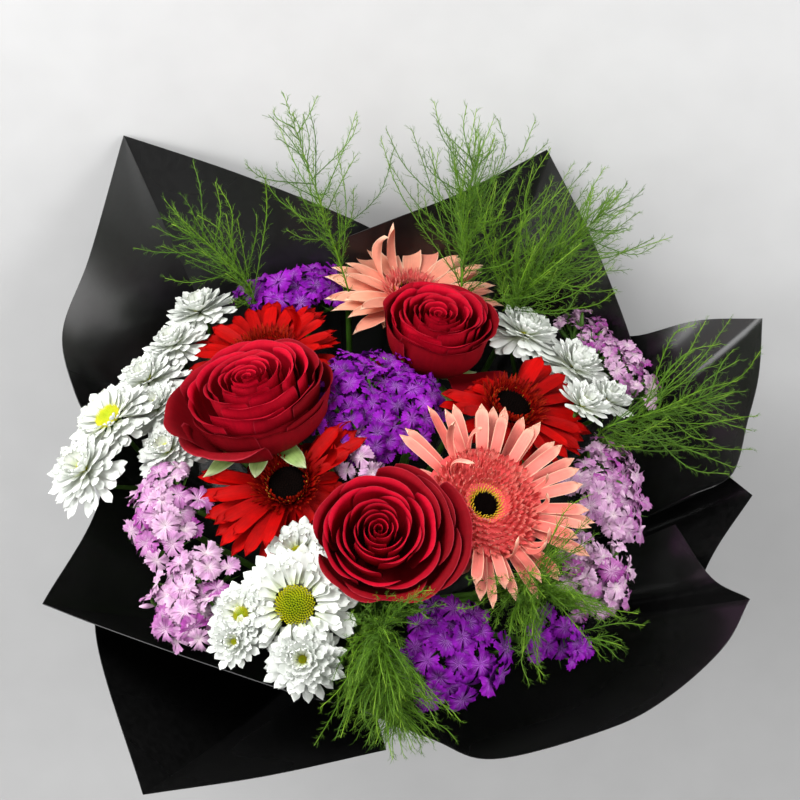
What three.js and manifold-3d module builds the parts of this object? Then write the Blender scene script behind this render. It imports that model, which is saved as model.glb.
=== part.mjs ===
// A hand-tied bouquet of mixed flowers in a black film wrapper, laid down on its back.
//
// Millimetres. The flowers, stems and wrapper are made in the bouquet's own frame: X across,
// Y towards its back, Z along its axis, from the tie at the origin to the flowers. The group at
// the end lays the bouquet down, with its flowers to the front and its cut ends behind.
//
// Blooms are placed as they are seen along one line of sight: "across" and "up" are measured
// square to that line, and the depth comes from the dome that the flowers form together.
import * as THREE from "three";
import { mergeVertices } from "three/addons/utils/BufferGeometryUtils.js";
import Module from "manifold-3d";

const wasm = await Module();
wasm.setup();

const DEG = Math.PI / 180;

// ---------- driving dimensions ----------

const SIGHT = 29 * DEG; // between the bouquet's axis and the line of sight
const RISE = 34 * DEG; // of the axis above the surface, once the bouquet lies down

// The dome that the faces of the flowers form.
const DOME = { centre: 215, crown: 48, fall: 80, radius: 195, backward: -0.11 };

// The wrapper's film: its neck round the tie, its skirt below, and how it bends out above.
const WRAP = { neck: 18.3, skirt: 6, skirtEnd: -38, neckTop: 18, flare: -0.3, film: 0.8, layerSpread: 0.026 };

const GAP = 0.35; // between pieces that touch
const TIE = { inner: 15.9, outer: 17.4, half: 7, sides: 16 };
const RIBBON = { thick: 1.2, half: 7, sides: 16 };

const STEM = { pitch: 4.9, waist: 14, bend: 40, fan: 105, fanShare: 0.42, cutEnd: -100, splay: 0.4, sides: 4 };
const STEM_RADIUS = { rose: 2.3, gerbera: 2.2, daisy: 2.2, pink: 2.15, fern: 2.1 };

// ---------- materials ----------

const paint = (colour, roughness, metalness = 0) =>
  new THREE.MeshStandardMaterial({ color: colour, roughness, metalness });

const ROSE_RED = paint(0x8e0018, 0.6);
const GERBERA_RED = paint(0xc40808, 0.55);
const CORAL = paint(0xea7d6c, 0.55);
const PEACH = paint(0xe9a184, 0.55);
const DISC_DARK = paint(0x1c0a06, 0.8);
const WHITE = paint(0xe4e6e0, 0.55);
const PURPLE = paint(0x7a1cae, 0.55);
const LILAC = paint(0xcf9ccf, 0.55);
const GREEN = paint(0x4c7a1e, 0.6);
const FERN_GREEN = paint(0x4f8a16, 0.6);
const BLACK_FILM = paint(0x0a0a0a, 0.3);
const BLACK_RIBBON = paint(0x101010, 0.4);
const TWINE = paint(0x9a8c64, 0.8);

// ---------- solids ----------

const vec = (x = 0, y = 0, z = 0) => new THREE.Vector3(x, y, z);
const polar = (radius, angle, z = 0) => vec(radius * Math.cos(angle), radius * Math.sin(angle), z);
const span = (count) => Array.from({ length: count }, (_, i) => i);

function solidOf(geometry, matrix = new THREE.Matrix4()) {
  const bare = geometry.clone().applyMatrix4(matrix);
  bare.deleteAttribute("normal");
  bare.deleteAttribute("uv");
  const merged = mergeVertices(bare, 1e-4);
  const index = merged.index.array;
  const kept = [];
  for (let i = 0; i < index.length; i += 3) {
    const [a, b, c] = index.slice(i, i + 3);
    if (a !== b && b !== c && c !== a) kept.push(a, b, c);
  }
  const vertProperties = new Float32Array(merged.getAttribute("position").array);
  return new wasm.Manifold(new wasm.Mesh({ numProp: 3, vertProperties, triVerts: new Uint32Array(kept) }));
}

function closed(points, faces, matrix) {
  const geometry = new THREE.BufferGeometry().setFromPoints(points);
  geometry.setIndex(faces.flat());
  return solidOf(geometry, matrix);
}

// An open surface, given as points and triangles, made into a plate of even thickness. Both faces
// are split alike.
function plate(points, triangles, thickness, matrix) {
  const sheet = new THREE.BufferGeometry().setFromPoints(points);
  sheet.setIndex(triangles.flat());
  sheet.computeVertexNormals();
  const normals = sheet.getAttribute("normal");
  const side = (distance) =>
    points.map((p, i) => p.clone().addScaledVector(vec().fromBufferAttribute(normals, i), distance));
  const below = points.length;
  const faces = triangles.flatMap(([a, b, c]) => [[a, b, c], [a + below, c + below, b + below]]);
  const edges = new Set(triangles.flatMap(([a, b, c]) => [`${a},${b}`, `${b},${c}`, `${c},${a}`]));
  for (const edge of edges) {
    const [a, b] = edge.split(",").map(Number);
    if (!edges.has(`${b},${a}`)) faces.push([a, a + below, b + below], [a, b + below, b]);
  }
  return closed([...side(thickness / 2), ...side(-thickness / 2)], faces, matrix);
}

// Triangles of a grid of points, row by row.
function gridTriangles(rows, columns) {
  const triangles = [];
  for (let row = 0; row < rows - 1; row++) {
    for (let column = 0; column < columns - 1; column++) {
      const a = row * columns + column;
      const c = a + columns;
      triangles.push([a, a + 1, c + 1], [a, c + 1, c]);
    }
  }
  return triangles;
}

const fan = (count) => span(count - 2).map((i) => [0, i + 1, i + 2]);

// The largest body of the pieces joined, with its sealed hollows filled.
function joined(pieces) {
  const bodies = wasm.Manifold.union(pieces).decompose();
  return bodies.reduce((best, body) => (body.volume() > best.volume() ? body : best));
}

const section = (radius, sides) =>
  new THREE.Shape(
    span(sides)
      .map((i) => polar(radius, (2 * Math.PI * i) / sides))
      .map((p) => new THREE.Vector2(p.x, p.y)),
  );

// A smooth curve that is stepped evenly from point to point, so that a tube has a ring at each.
class Route extends THREE.CatmullRomCurve3 {
  getPointAt(share, target) {
    return this.getPoint(share, target);
  }
  getTangentAt(share, target) {
    return this.getTangent(share, target);
  }
}

function tube(points, radius, sides) {
  const extrudePath = new Route(points);
  return solidOf(new THREE.ExtrudeGeometry(section(radius, sides), { extrudePath, steps: points.length - 1 }));
}

function lathe(profile, sides, matrix) {
  const outline = profile.map(([radius, z]) => new THREE.Vector2(radius, z));
  return solidOf(new THREE.LatheGeometry(outline, sides).rotateX(Math.PI / 2), matrix);
}

// ---------- what is already in its place ----------

const bouquet = new THREE.Group();
const placed = [];

function hold(solid, owner) {
  const { min, max } = solid.boundingBox();
  placed.push({ solid, owner, box: new THREE.Box3(vec(...min), vec(...max)) });
}

function isClear(solid, owner) {
  const { min, max } = solid.boundingBox();
  const box = new THREE.Box3(vec(...min), vec(...max));
  return placed.every(
    (other) =>
      other.owner === owner || !box.intersectsBox(other.box) || solid.intersect(other.solid).isEmpty(),
  );
}

// The largest share of full size at which a shape clears everything placed so far, and any others.
const SHARES = [1, 0.88, 0.76, 0.64, 0.52, 0.4];
function clearShare(shape, owner, others = []) {
  const fits = (solid) => isClear(solid, owner) && others.every((other) => solid.intersect(other).isEmpty());
  return SHARES.find((share) => fits(shape(share))) ?? 0;
}

function addPart(name, solid, material) {
  const { vertProperties, triVerts, numProp } = solid.getMesh();
  const geometry = new THREE.BufferGeometry();
  const positions = [];
  for (let i = 0; i < vertProperties.length; i += numProp) positions.push(...vertProperties.slice(i, i + 3));
  geometry.setAttribute("position", new THREE.Float32BufferAttribute(positions, 3));
  geometry.setIndex([...triVerts]);
  geometry.computeVertexNormals();
  const mesh = new THREE.Mesh(geometry, material);
  mesh.name = name;
  bouquet.add(mesh);
}

// ---------- places ----------

const domeHeight = (x, y) =>
  DOME.centre + DOME.crown - DOME.fall * ((x * x + y * y) / DOME.radius ** 2) + DOME.backward * y;

const domeSlope = (x, y) =>
  vec((2 * DOME.fall * x) / DOME.radius ** 2, (2 * DOME.fall * y) / DOME.radius ** 2 - DOME.backward, 1);

// The point of the dome that is seen at this place, found by halving.
function seenAt(across, up) {
  let [near, far] = [-DOME.radius * 1.4, DOME.radius * 1.4];
  for (let i = 0; i < 40; i++) {
    const y = (near + far) / 2;
    const seen = (domeHeight(across, y) - DOME.centre) * Math.sin(SIGHT) + y * Math.cos(SIGHT);
    if (seen < up) near = y;
    else far = y;
  }
  return vec(across, near, domeHeight(across, near));
}

const TOWARDS = vec(0, -Math.sin(SIGHT), Math.cos(SIGHT)); // the viewer

// A bloom's frame: its face's middle at the origin and its axis along Z.
function bloomFrame({ across, up, towards = 0, lean = 1, tip = [0, 0], turn = 0 }) {
  const point = seenAt(across, up);
  const slope = domeSlope(point.x, point.y);
  const axis = vec(slope.x * lean + tip[0], slope.y * lean + tip[1], 1).normalize();
  const frame = new THREE.Matrix4().makeRotationFromQuaternion(
    new THREE.Quaternion().setFromUnitVectors(vec(0, 0, 1), axis),
  );
  frame.multiply(new THREE.Matrix4().makeRotationZ(turn * DEG));
  return frame.setPosition(point.addScaledVector(TOWARDS, towards));
}

const axisOf = (frame) => vec().setFromMatrixColumn(frame, 2);
const below = (frame, depth) => vec().setFromMatrixPosition(frame).addScaledVector(axisOf(frame), -depth);

// ---------- the flowers and their places ----------
// "towards" lifts a bloom off the dome towards the viewer, or sinks it if negative.

const ROSES = [
  { name: "rose_left", across: -67, up: 61, towards: 34, tip: [0, 0.15], turn: 40, size: 50, depth: 54 },
  { name: "rose_upper", across: 52, up: 101, towards: 24, lean: 0.7, turn: 10, size: 37, depth: 48 },
  { name: "rose_front", across: 15, up: -31, towards: 32, lean: 0.8, turn: 75, size: 44, depth: 46 },
];

const GERBERAS = [
  { name: "coral_gerbera_front", colour: CORAL, across: 79, up: -18, towards: 8, size: 58, rays: 14 },
  { name: "red_gerbera_right", colour: GERBERA_RED, across: 97, up: 42, towards: -8, size: 52, rays: 13 },
  { name: "red_gerbera_front", colour: GERBERA_RED, across: -42, up: -6, towards: -18, size: 56, rays: 13 },
  { name: "red_gerbera_back", colour: GERBERA_RED, across: -58, up: 75, towards: -24, size: 50, rays: 13 },
  {
    name: "coral_gerbera_back", colour: PEACH, across: 27, up: 116, towards: -6, tip: [0, -0.3],
    size: 54, rays: 12,
  },
];

const DAISIES = [
  {
    name: "daisies_left_top",
    heads: [
      { across: -103, up: 107, size: 22, towards: 4 },
      { across: -118, up: 85, size: 19, towards: 8 },
      { across: -134, up: 62, size: 23, towards: 0 },
    ],
  },
  {
    name: "daisies_left",
    heads: [
      { across: -157, up: 37, size: 26, towards: 21 },
      { across: -172, up: 5, size: 26, towards: 21 },
      { across: -114, up: 22, size: 23, towards: 4 },
    ],
  },
  {
    name: "daisies_front",
    heads: [
      { across: -35, up: -77, size: 34, towards: 8 },
      { across: -33, up: -49, size: 23, towards: 2 },
      { across: -70, up: -84, size: 20, towards: 4 },
      { across: -74, up: -101, size: 15, half: true, towards: 4 },
      { across: -32, up: -111, size: 22, towards: 4 },
    ],
  },
  {
    name: "daisies_right",
    heads: [
      { across: 108, up: 92, size: 24, towards: 6 },
      { across: 140, up: 70, size: 25, towards: 4 },
      { across: 143, up: 45, size: 16, half: true, towards: 22 },
      { across: 160, up: 48, size: 15, half: true, towards: 16 },
    ],
  },
];

// A head of sweet william: "wide" and "deep" are its half sizes, across its own axis.
const PINKS = [
  {
    name: "purple_pinks_middle", colour: PURPLE, across: 15, up: 47, towards: -4, wide: 38,
    deep: 40, florets: 12,
  },
  {
    name: "purple_pinks_back", colour: PURPLE, across: -35, up: 121, towards: 2, wide: 42, deep: 24,
    florets: 9,
  },
  {
    name: "purple_pinks_front", colour: PURPLE, across: 62, up: -107, towards: 4, wide: 34,
    deep: 34, florets: 9,
  },
  { name: "purple_pinks_low_right", colour: PURPLE, across: 130, up: -99, wide: 24, deep: 14, florets: 4 },
  {
    name: "lilac_pinks_left", colour: LILAC, across: -124, up: -18, towards: 4, wide: 27, deep: 34,
    florets: 8,
  },
  {
    name: "lilac_pinks_front_left", colour: LILAC, across: -106, up: -74, towards: 2, wide: 30,
    deep: 33, florets: 9,
  },
  {
    name: "lilac_pinks_middle", colour: LILAC, across: 4, up: 16, towards: -10, wide: 15, deep: 18,
    florets: 4,
  },
  {
    name: "lilac_pinks_right", colour: LILAC, across: 164, up: -6, towards: 4, wide: 29, deep: 36,
    florets: 9,
  },
  {
    name: "lilac_pinks_low_right", colour: LILAC, across: 154, up: -60, towards: 2, wide: 26,
    deep: 28, florets: 8,
  },
  {
    name: "lilac_pinks_right_top", colour: LILAC, across: 170, up: 85, towards: 48, wide: 16,
    deep: 26, florets: 7,
  },
];

// A frond leaves the dome at "across, up" and ends at "tip", in the bouquet's frame.
const FERNS = [
  { name: "fern_back_left", across: -66, up: 104, tip: [-115, 170, 248], towards: -2 },
  { name: "fern_back_middle", across: -10, up: 104, tip: [-45, 205, 358], towards: -2 },
  { name: "fern_back_right", across: 66, up: 108, tip: [75, 195, 307], towards: 0 },
  { name: "fern_back_far_right", across: 98, up: 100, tip: [165, 165, 278], towards: -2 },
  { name: "fern_right", across: 150, up: 20, tip: [235, 40, 248], towards: -12 },
  { name: "fern_front_right", across: 104, up: -66, tip: [150, -135, 232], towards: -10 },
  { name: "fern_front", across: 12, up: -90, tip: [30, -205, 228], towards: -8 },
];

// ---------- stems ----------

// Sites of the stems where they are tied: a close triangular packing, from the middle out.
function tieSites(count) {
  const sites = [];
  for (let row = -4; row <= 4; row++) {
    for (let column = -4; column <= 4; column++) {
      const x = (column + row / 2) * STEM.pitch;
      const y = row * STEM.pitch * Math.sqrt(3 / 4);
      sites.push(new THREE.Vector2(x, y));
    }
  }
  return sites.sort((a, b) => a.length() - b.length() || a.angle() - b.angle()).slice(0, count);
}

// Gives each stem a site so that the squares of the ways from the sites to the blooms add up to
// least. Stems then never cross on their way.
function matchSites(feet) {
  const sites = tieSites(feet.length);
  const gain = (i, j) =>
    (feet[i].x - feet[j].x) * (sites[j].x - sites[i].x) + (feet[i].y - feet[j].y) * (sites[j].y - sites[i].y);
  for (let swapped = true; swapped; ) {
    swapped = false;
    for (const i of span(feet.length)) {
      for (const j of span(i)) {
        if (gain(i, j) > 1e-6) {
          [sites[i], sites[j]] = [sites[j], sites[i]];
          swapped = true;
        }
      }
    }
  }
  return sites;
}

function stemPath(site, foot, axis, index) {
  const cut = STEM.cutEnd + 4 * (index % 3);
  const splayed = (z, share) => vec(site.x * (1 + share), site.y * (1 + share), z);
  const towardsFoot = (z, share) => {
    const spot = site.clone().lerp(new THREE.Vector2(foot.x, foot.y), share);
    return vec(spot.x, spot.y, z);
  };
  return [
    splayed(cut, STEM.splay),
    splayed(cut / 2, STEM.splay * 0.35),
    splayed(-STEM.waist, 0),
    splayed(STEM.waist, 0),
    towardsFoot(STEM.bend, 0.05),
    towardsFoot(STEM.fan, STEM.fanShare),
    foot.clone().addScaledVector(axis, -22),
    foot,
  ];
}

// ---------- the wrapper ----------
// Each sheet's rim is a line of points [x, y, z], anticlockwise round the axis. A sheet with a
// higher layer lies further out where two overlap.

const SHEETS = [
  {
    name: "wrap_back_right",
    layer: 0,
    rim: [
      [177, 104, 170], [175, 120, 179], [151, 180, 201], [122, 228, 232], [70, 201, 226], [21, 181, 222],
      [-14, 170, 214]
    ],
  },
  {
    name: "wrap_back_left",
    layer: 1,
    rim: [
      [34, 168, 196], [2, 181, 214], [-72, 210, 226], [-148, 235, 236], [-168, 157, 216], [-184, 109, 204],
      [-176, 72, 192], [-163, 50, 184]
    ],
  },
  {
    name: "wrap_front_left_inner",
    layer: 0,
    rim: [
      [-160, 60, 196], [-162, -11, 196], [-194, -85, 204], [-159, -100, 204], [-87, -130, 208],
      [-16, -156, 212], [30, -154, 208]
    ],
  },
  {
    name: "wrap_front_left_outer",
    layer: 2,
    rim: [[-150, -25, 152], [-156, -84, 170], [-125, -196, 190], [-53, -186, 194], [18, -170, 196]],
  },
  {
    name: "wrap_front_right",
    layer: 1,
    rim: [
      [2, -150, 199], [46, -171, 202], [83, -183, 200], [151, -165, 204], [188, -145, 207],
      [223, -112, 210], [239, -82, 213], [216, -64, 206], [196, -20, 190]
    ],
  },
  {
    name: "wrap_right_corner", layer: 2,
    rim: [[205, -50, 160], [218, -28, 180], [240, 1, 195], [214, 30, 185]],
  },
  {
    name: "wrap_right_curled",
    layer: 1,
    rim: [
      [205, 0, 190], [231, 8, 204], [241, 39, 212], [249, 70, 220], [252, 106, 228], [213, 116, 207],
      [175, 122, 176], [150, 133, 166]
    ],
  },
];

const UP = vec(0, -Math.cos(RISE), Math.sin(RISE)); // away from the surface, once it lies down

// Points of a profile in (radius, height), moved out square to both of its neighbouring stretches.
function movedOut(profile, distances) {
  const normals = profile.slice(1).map(([r, z], i) => {
    const [before, under] = profile[i];
    return new THREE.Vector2(z - under, before - r).normalize();
  });
  return profile.map(([r, z], i) => {
    const [a, b] = [normals[Math.max(0, i - 1)], normals[Math.min(normals.length - 1, i)]];
    const reach = distances[i] / (1 + a.dot(b));
    return [r + (a.x + b.x) * reach, z + (a.y + b.y) * reach];
  });
}

const FLARE_STEPS = [0.28, 0.62, 1];

// From the skirt below the tie up to a point of the rim, bending outwards evenly.
function sheetColumn(rimPoint, layer, rest) {
  const angle = Math.atan2(rimPoint.y, rimPoint.x);
  const reach = Math.hypot(rimPoint.x, rimPoint.y) - WRAP.neck;
  const flared = FLARE_STEPS.map((step) => {
    const climbed = (step - WRAP.flare * step * step) / (1 - WRAP.flare);
    return [WRAP.neck + reach * step, WRAP.neckTop + (rimPoint.z - WRAP.neckTop) * climbed];
  });
  const profile = [[WRAP.neck + WRAP.skirt, WRAP.skirtEnd], [WRAP.neck, -10], [WRAP.neck, WRAP.neckTop], ...flared];
  const step = WRAP.film + GAP;
  const distances = profile.map(
    ([radius]) => layer * (step + WRAP.layerSpread * Math.max(0, radius - WRAP.neck - 8)),
  );
  return movedOut(profile, distances).map(([radius, z]) => {
    const point = polar(radius, angle, z);
    const sunk = WRAP.film / 2 - (point.dot(UP) + rest);
    return sunk > 0 ? point.addScaledVector(UP, sunk) : point;
  });
}

const SHEET_STEP = 18 * DEG; // between a sheet's columns

function sheet({ layer, rim }, rest) {
  const corners = rim.map((point) => vec(...point));
  const line = [];
  for (const [i, corner] of corners.slice(0, -1).entries()) {
    const next = corners[i + 1];
    const turn = Math.atan2(next.y, next.x) - Math.atan2(corner.y, corner.x);
    const steps = Math.max(1, Math.round(Math.abs(Math.atan2(Math.sin(turn), Math.cos(turn))) / SHEET_STEP));
    for (const k of span(steps)) line.push(corner.clone().lerp(next, k / steps));
  }
  line.push(corners.at(-1));
  const columns = line.map((point) => sheetColumn(point, layer, rest));
  return plate(columns.flat(), gridTriangles(columns.length, columns[0].length), WRAP.film);
}

const ring = (inner, outer, half, sides) =>
  lathe([[inner, -half], [outer, -half], [outer, half], [inner, half], [inner, -half]], sides);

// ---------- rosettes ----------
// A rosette is one closed skin, folded out and back for each petal, layer on layer. Each petal has
// back and front roots at its start, an outline from one root to the next, a keel behind it, and a
// belly in front where it is hollow.

// Triangles between two rings of points, both in the order of their angles.
function zipped(lower, upper, angleOf) {
  const faces = [];
  const onward = (index, ring) => angleOf(ring[index % ring.length]) + (index >= ring.length ? 2 * Math.PI : 0);
  let [i, j] = [0, 0];
  while (i < lower.length || j < upper.length) {
    const takeLower = j >= upper.length || (i < lower.length && onward(i + 1, lower) <= onward(j + 1, upper));
    const [a, b] = [lower[i % lower.length], upper[j % upper.length]];
    faces.push(takeLower ? [a, lower[(i + 1) % lower.length], b] : [a, upper[(j + 1) % upper.length], b]);
    if (takeLower) i++;
    else j++;
  }
  return faces;
}

const petalFaces = (backRim, frontRim, keel, belly) => [
  ...backRim.slice(1).map((k, n) => [keel, k, backRim[n]]),
  [keel, backRim[0], backRim.at(-1)],
  ...(belly === null
    ? fan(frontRim.length).map((face) => face.map((n) => frontRim[n]))
    : [...frontRim.slice(1).map((k, n) => [belly, frontRim[n], k]), [belly, frontRim.at(-1), frontRim[0]]]),
  [backRim[0], backRim[1], frontRim[0]],
  [backRim.at(-1), frontRim.at(-1), frontRim.at(-2)],
];

// Layers run from the lowest to the highest. "under" is a profile of [radius, z] from the bottom
// point up to the first layer, and "over" from the last layer to the top point.
function rosette({ layers, under, over }, frame) {
  const points = [];
  const faces = [];
  const add = (point) => points.push(point) - 1;
  const angleOf = (k) => Math.atan2(points[k].y, points[k].x);
  const sorted = (ring) => [...ring].sort((j, k) => angleOf(j) - angleOf(k));
  const sides = layers[0].length;
  const circle = ([radius, z]) =>
    span(sides).map((i) => add(polar(radius, (2 * Math.PI * (i + 0.6)) / sides - Math.PI, z)));
  const bottom = add(vec(0, 0, under[0][1]));
  let ring = circle(under[1]);
  ring.forEach((k, i) => faces.push([bottom, ring[(i + 1) % sides], k]));
  const climb = (next) => {
    faces.push(...zipped(sorted(ring), sorted(next), angleOf));
    ring = next;
  };
  under.slice(2).forEach((step) => climb(circle(step)));
  for (const petals of layers) {
    const backs = petals.map((petal) => add(petal.back));
    const fronts = petals.map((petal) => add(petal.front));
    climb(backs);
    petals.forEach(({ outline, keel, belly }, i) => {
      const next = (i + 1) % petals.length;
      const rim = outline.map(add);
      const middles = [add(keel), belly ? add(belly) : null];
      faces.push(...petalFaces([backs[i], ...rim, backs[next]], [fronts[i], ...rim, fronts[next]], ...middles));
    });
    ring = fronts;
  }
  over.slice(0, -1).forEach((step) => climb(circle(step)));
  const top = add(vec(0, 0, over.at(-1)[1]));
  const last = sorted(ring);
  last.forEach((k, i) => faces.push([k, last[(i + 1) % last.length], top]));
  return closed(points, faces, frame);
}

// A petal with its outline, keel and belly drawn in towards its root.
function shortened(petal, next, share) {
  const root = petal.back.clone().add(next.front).multiplyScalar(0.5);
  const drawn = (point) => point && root.clone().lerp(point, share);
  return { ...petal, outline: petal.outline.map(drawn), keel: drawn(petal.keel), belly: drawn(petal.belly) };
}

// A petal alone, a little larger all round.
function loosePetal(petal, next, frame) {
  const { outline, keel, belly } = petal;
  const middle = outline.reduce((sum, p) => sum.add(p), vec()).divideScalar(outline.length);
  const grown = outline.map((p) => p.clone().add(p.clone().sub(middle).setLength(GAP)));
  const front = belly ?? keel.clone().lerp(middle, 0.2);
  const apart = front.clone().sub(keel).setLength(GAP);
  const points = [petal.back, next.back, petal.front, next.front, ...grown, keel.clone().sub(apart)];
  const rim = span(outline.length).map((k) => 4 + k);
  const keelAt = points.length - 1;
  const bellyAt = points.push(front.clone().add(apart)) - 1;
  const faces = petalFaces([0, ...rim, 1], [2, ...rim, 3], keelAt, bellyAt);
  return closed(points, [...faces, [1, 0, 3], [0, 2, 3]], frame);
}

// Layers of petals, each petal as long as its neighbours in other flowers let it be.
function clearLayers(layers, owner, frame) {
  return layers.map((petals) =>
    petals.map((petal, i) => {
      const next = petals[(i + 1) % petals.length];
      const share = clearShare((size) => loosePetal(shortened(petal, next, size), next, frame), owner);
      return shortened(petal, next, Math.max(share, 0.25));
    }),
  );
}

// ---------- roses ----------
// Radii are shares of the bloom's size. Heights are measured from the middle of its face.

const ROSE_LAYERS = [
  { petals: 5, belly: 0.8, rim: 1, foot: 11, top: -13, peak: 2 },
  { petals: 5, belly: 0.66, rim: 0.78, foot: 9.6, top: -6, peak: 4 },
  { petals: 5, belly: 0.5, rim: 0.52, foot: 8, top: -2.5, peak: 3 },
  { petals: 4, belly: 0.34, rim: 0.32, foot: 6, top: -1, peak: 1.5 },
  { petals: 3, belly: 0.2, rim: 0.17, foot: 4, top: 0, peak: 1 },
];
const ROSE_FOOT = 9;
const PETAL = { thick: 1.4, root: 1.6 };

function roseLayer({ petals, belly, rim, foot, top, peak }, index, { size, depth }) {
  const step = (2 * Math.PI) / petals;
  const low = -depth + ROSE_FOOT + 2.5 * index;
  const middle = low + (top - low) * 0.5;
  return span(petals).map((i) => {
    const angle = (i + 0.37 * index) * step;
    const uneven = 1 + 0.06 * Math.sin(2.3 * i + index);
    const at = (radius, side, z) => polar(radius * size * uneven, angle + side * step, z);
    const root = angle - step / 2;
    return {
      back: polar(foot + PETAL.root / 2, root, low - 0.6),
      front: polar(foot - PETAL.root / 2, root, low + 1.2),
      outline: [
        at(belly * 0.96, -0.47, middle),
        at(rim, -0.3, top),
        at(rim * 1.04, 0, top + peak),
        at(rim, 0.3, top),
        at(belly * 0.96, 0.47, middle),
      ],
      keel: at(belly * 1.08, 0, middle).add(polar(PETAL.thick / 2, angle)),
      belly: at(belly * 1.08, 0, middle).add(polar(-PETAL.thick / 2, angle)),
    };
  });
}

function roseBloom(rose) {
  const { depth, frame, name } = rose;
  const layers = clearLayers(ROSE_LAYERS.map((layer, i) => roseLayer(layer, i, rose)), name, frame);
  const under = [[0, -depth], [6, -depth + 1], [11, -depth + 5]];
  const over = [[2.6, -12], [0, -7]];
  return rosette({ layers, under, over }, frame);
}

const HIP = { radius: 5.4, length: 9, sepal: 27 };

// The stem's end under a rose: its hip, and five sepals that bend back.
function roseCalyx({ depth, frame, name }) {
  const top = -depth - GAP;
  const sepals = span(5).map((i) => {
    const angle = (2 * Math.PI * i) / 5;
    const at = (reach, side, z) => polar(reach, angle, z).add(polar(side, angle + Math.PI / 2));
    const root = angle - Math.PI / 5;
    return {
      back: polar(HIP.radius, root, top - 3),
      front: polar(HIP.radius - 0.8, root, top - 1.4),
      outline: [at(HIP.sepal * 0.5, -3.6, top - 2.4), at(HIP.sepal, 0, top - 7), at(HIP.sepal * 0.5, 3.6, top - 2.4)],
      keel: at(HIP.sepal * 0.5, 0, top - 4.6),
    };
  });
  const under = [[0, top - HIP.length], [3.4, top - HIP.length + 1]];
  return rosette({ layers: clearLayers([sepals], name, frame), under, over: [[3.6, top], [0, top]] }, frame);
}

// ---------- flowers with rays ----------

// A layer of rays round a hub: pointed, or blunt like a spoon.
function rayLayer({ hub, count, width, length, lift, droop, base, phase = 0, pointed, root = 1.6 }) {
  const step = (2 * Math.PI) / count;
  return span(count).map((i) => {
    const angle = (i + phase) * step;
    const full = (length - hub) * (1 + 0.05 * Math.sin(2.4 * i + 9 * phase));
    const height = (reach) => base + full * (Math.tan(lift * DEG) * reach - droop * reach * reach);
    const at = (reach, side, z = height(reach)) =>
      polar(hub + full * reach, angle, z).add(polar(side, angle + Math.PI / 2));
    const under = Math.min(height(0.6), base + 0.6 * (height(1) - base)) - 1.1;
    return {
      back: polar(hub, angle - step / 2, base - root / 2),
      front: polar(hub - 0.4, angle - step / 2, base + root / 2),
      outline: pointed
        ? [at(0.68, -width / 2), at(1, 0), at(0.68, width / 2)]
        : [at(0.92, -width / 2), at(0.92, width / 2)],
      keel: at(0.6, 0, under),
    };
  });
}

const GERBERA = { hub: 11, inner: 9, disc: 8.6, back: -7, face: 0.9 };

function gerberaRays({ size, rays, frame, name }) {
  const { hub, inner, back, face } = GERBERA;
  const layers = [
    { hub, count: rays, width: size * 0.21, length: size, lift: 12, droop: 0.1, base: -4 },
    {
      hub: hub - 0.8, count: rays, width: size * 0.19, length: size * 0.92, lift: 22, droop: 0.1,
      base: -2, phase: 0.5,
    },
    {
      hub: inner + 0.4, count: Math.round(rays * 0.7), width: 5.6, length: size * 0.46, lift: 38,
      droop: 0.1, base: -0.2, phase: 0.2, root: 1.2,
    },
  ].map((layer) => rayLayer({ ...layer, pointed: true }));
  const under = [[0, back], [5, back], [hub - 1.5, -5.6]];
  return rosette({ layers: clearLayers(layers, name, frame), under, over: [[inner - 0.6, face], [0, face]] }, frame);
}

// The disc in the middle of a gerbera, with its florets raised as studs.
function gerberaDisc({ frame }) {
  const { disc, face } = GERBERA;
  const low = face + GAP;
  const profile = [[0, low], [disc - 1.6, low], [disc - 1, 2.8], [disc * 0.6, 4.4], [0, 3.8]];
  const outline = profile.map(([radius, z]) => new THREE.Vector2(radius, z));
  const geometry = new THREE.LatheGeometry(outline, 12).rotateX(Math.PI / 2);
  const spots = geometry.getAttribute("position");
  for (const i of span(spots.count)) {
    const [around, along] = [Math.floor(i / profile.length), i % profile.length];
    const raised = (along === 2 || along === 3) && (around + along) % 2 === 0;
    if (raised) spots.setZ(i, spots.getZ(i) + 1);
  }
  return solidOf(geometry, frame);
}

const DAISY = { back: -10 };

function daisyHead({ size, half, frame, name }) {
  const open = [
    { hub: 0.3 * size, count: 9, width: 0.46 * size, length: size, lift: -4, droop: 0.05, base: -5 },
    {
      hub: 0.28 * size, count: 6, width: 0.46 * size, length: 0.8 * size, lift: 28, droop: 0.1,
      base: -2.4, phase: 0.5,
    },
  ];
  const closing = [
    { hub: 0.36 * size, count: 6, width: 0.6 * size, length: 0.95 * size, lift: 52, droop: 0.25, base: -4.5 },
    {
      hub: 0.28 * size, count: 4, width: 0.4 * size, length: 0.66 * size, lift: 64, droop: 0.2,
      base: -1.5, phase: 0.5,
    },
  ];
  const layers = (half ? closing : open).map(rayLayer);
  const under = [[0, DAISY.back], [2.6, DAISY.back + 0.4], [0.28 * size, -6.6]];
  const over = [[0.27 * size, -0.4], [0.2 * size, 1.6], [0, 1]];
  return rosette({ layers: clearLayers(layers, name, frame), under, over }, frame);
}

// ---------- sweet william ----------

const FLORET = { size: 13, notch: 3.4, throat: 2.2, tube: 13, lobes: 5 };

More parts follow.
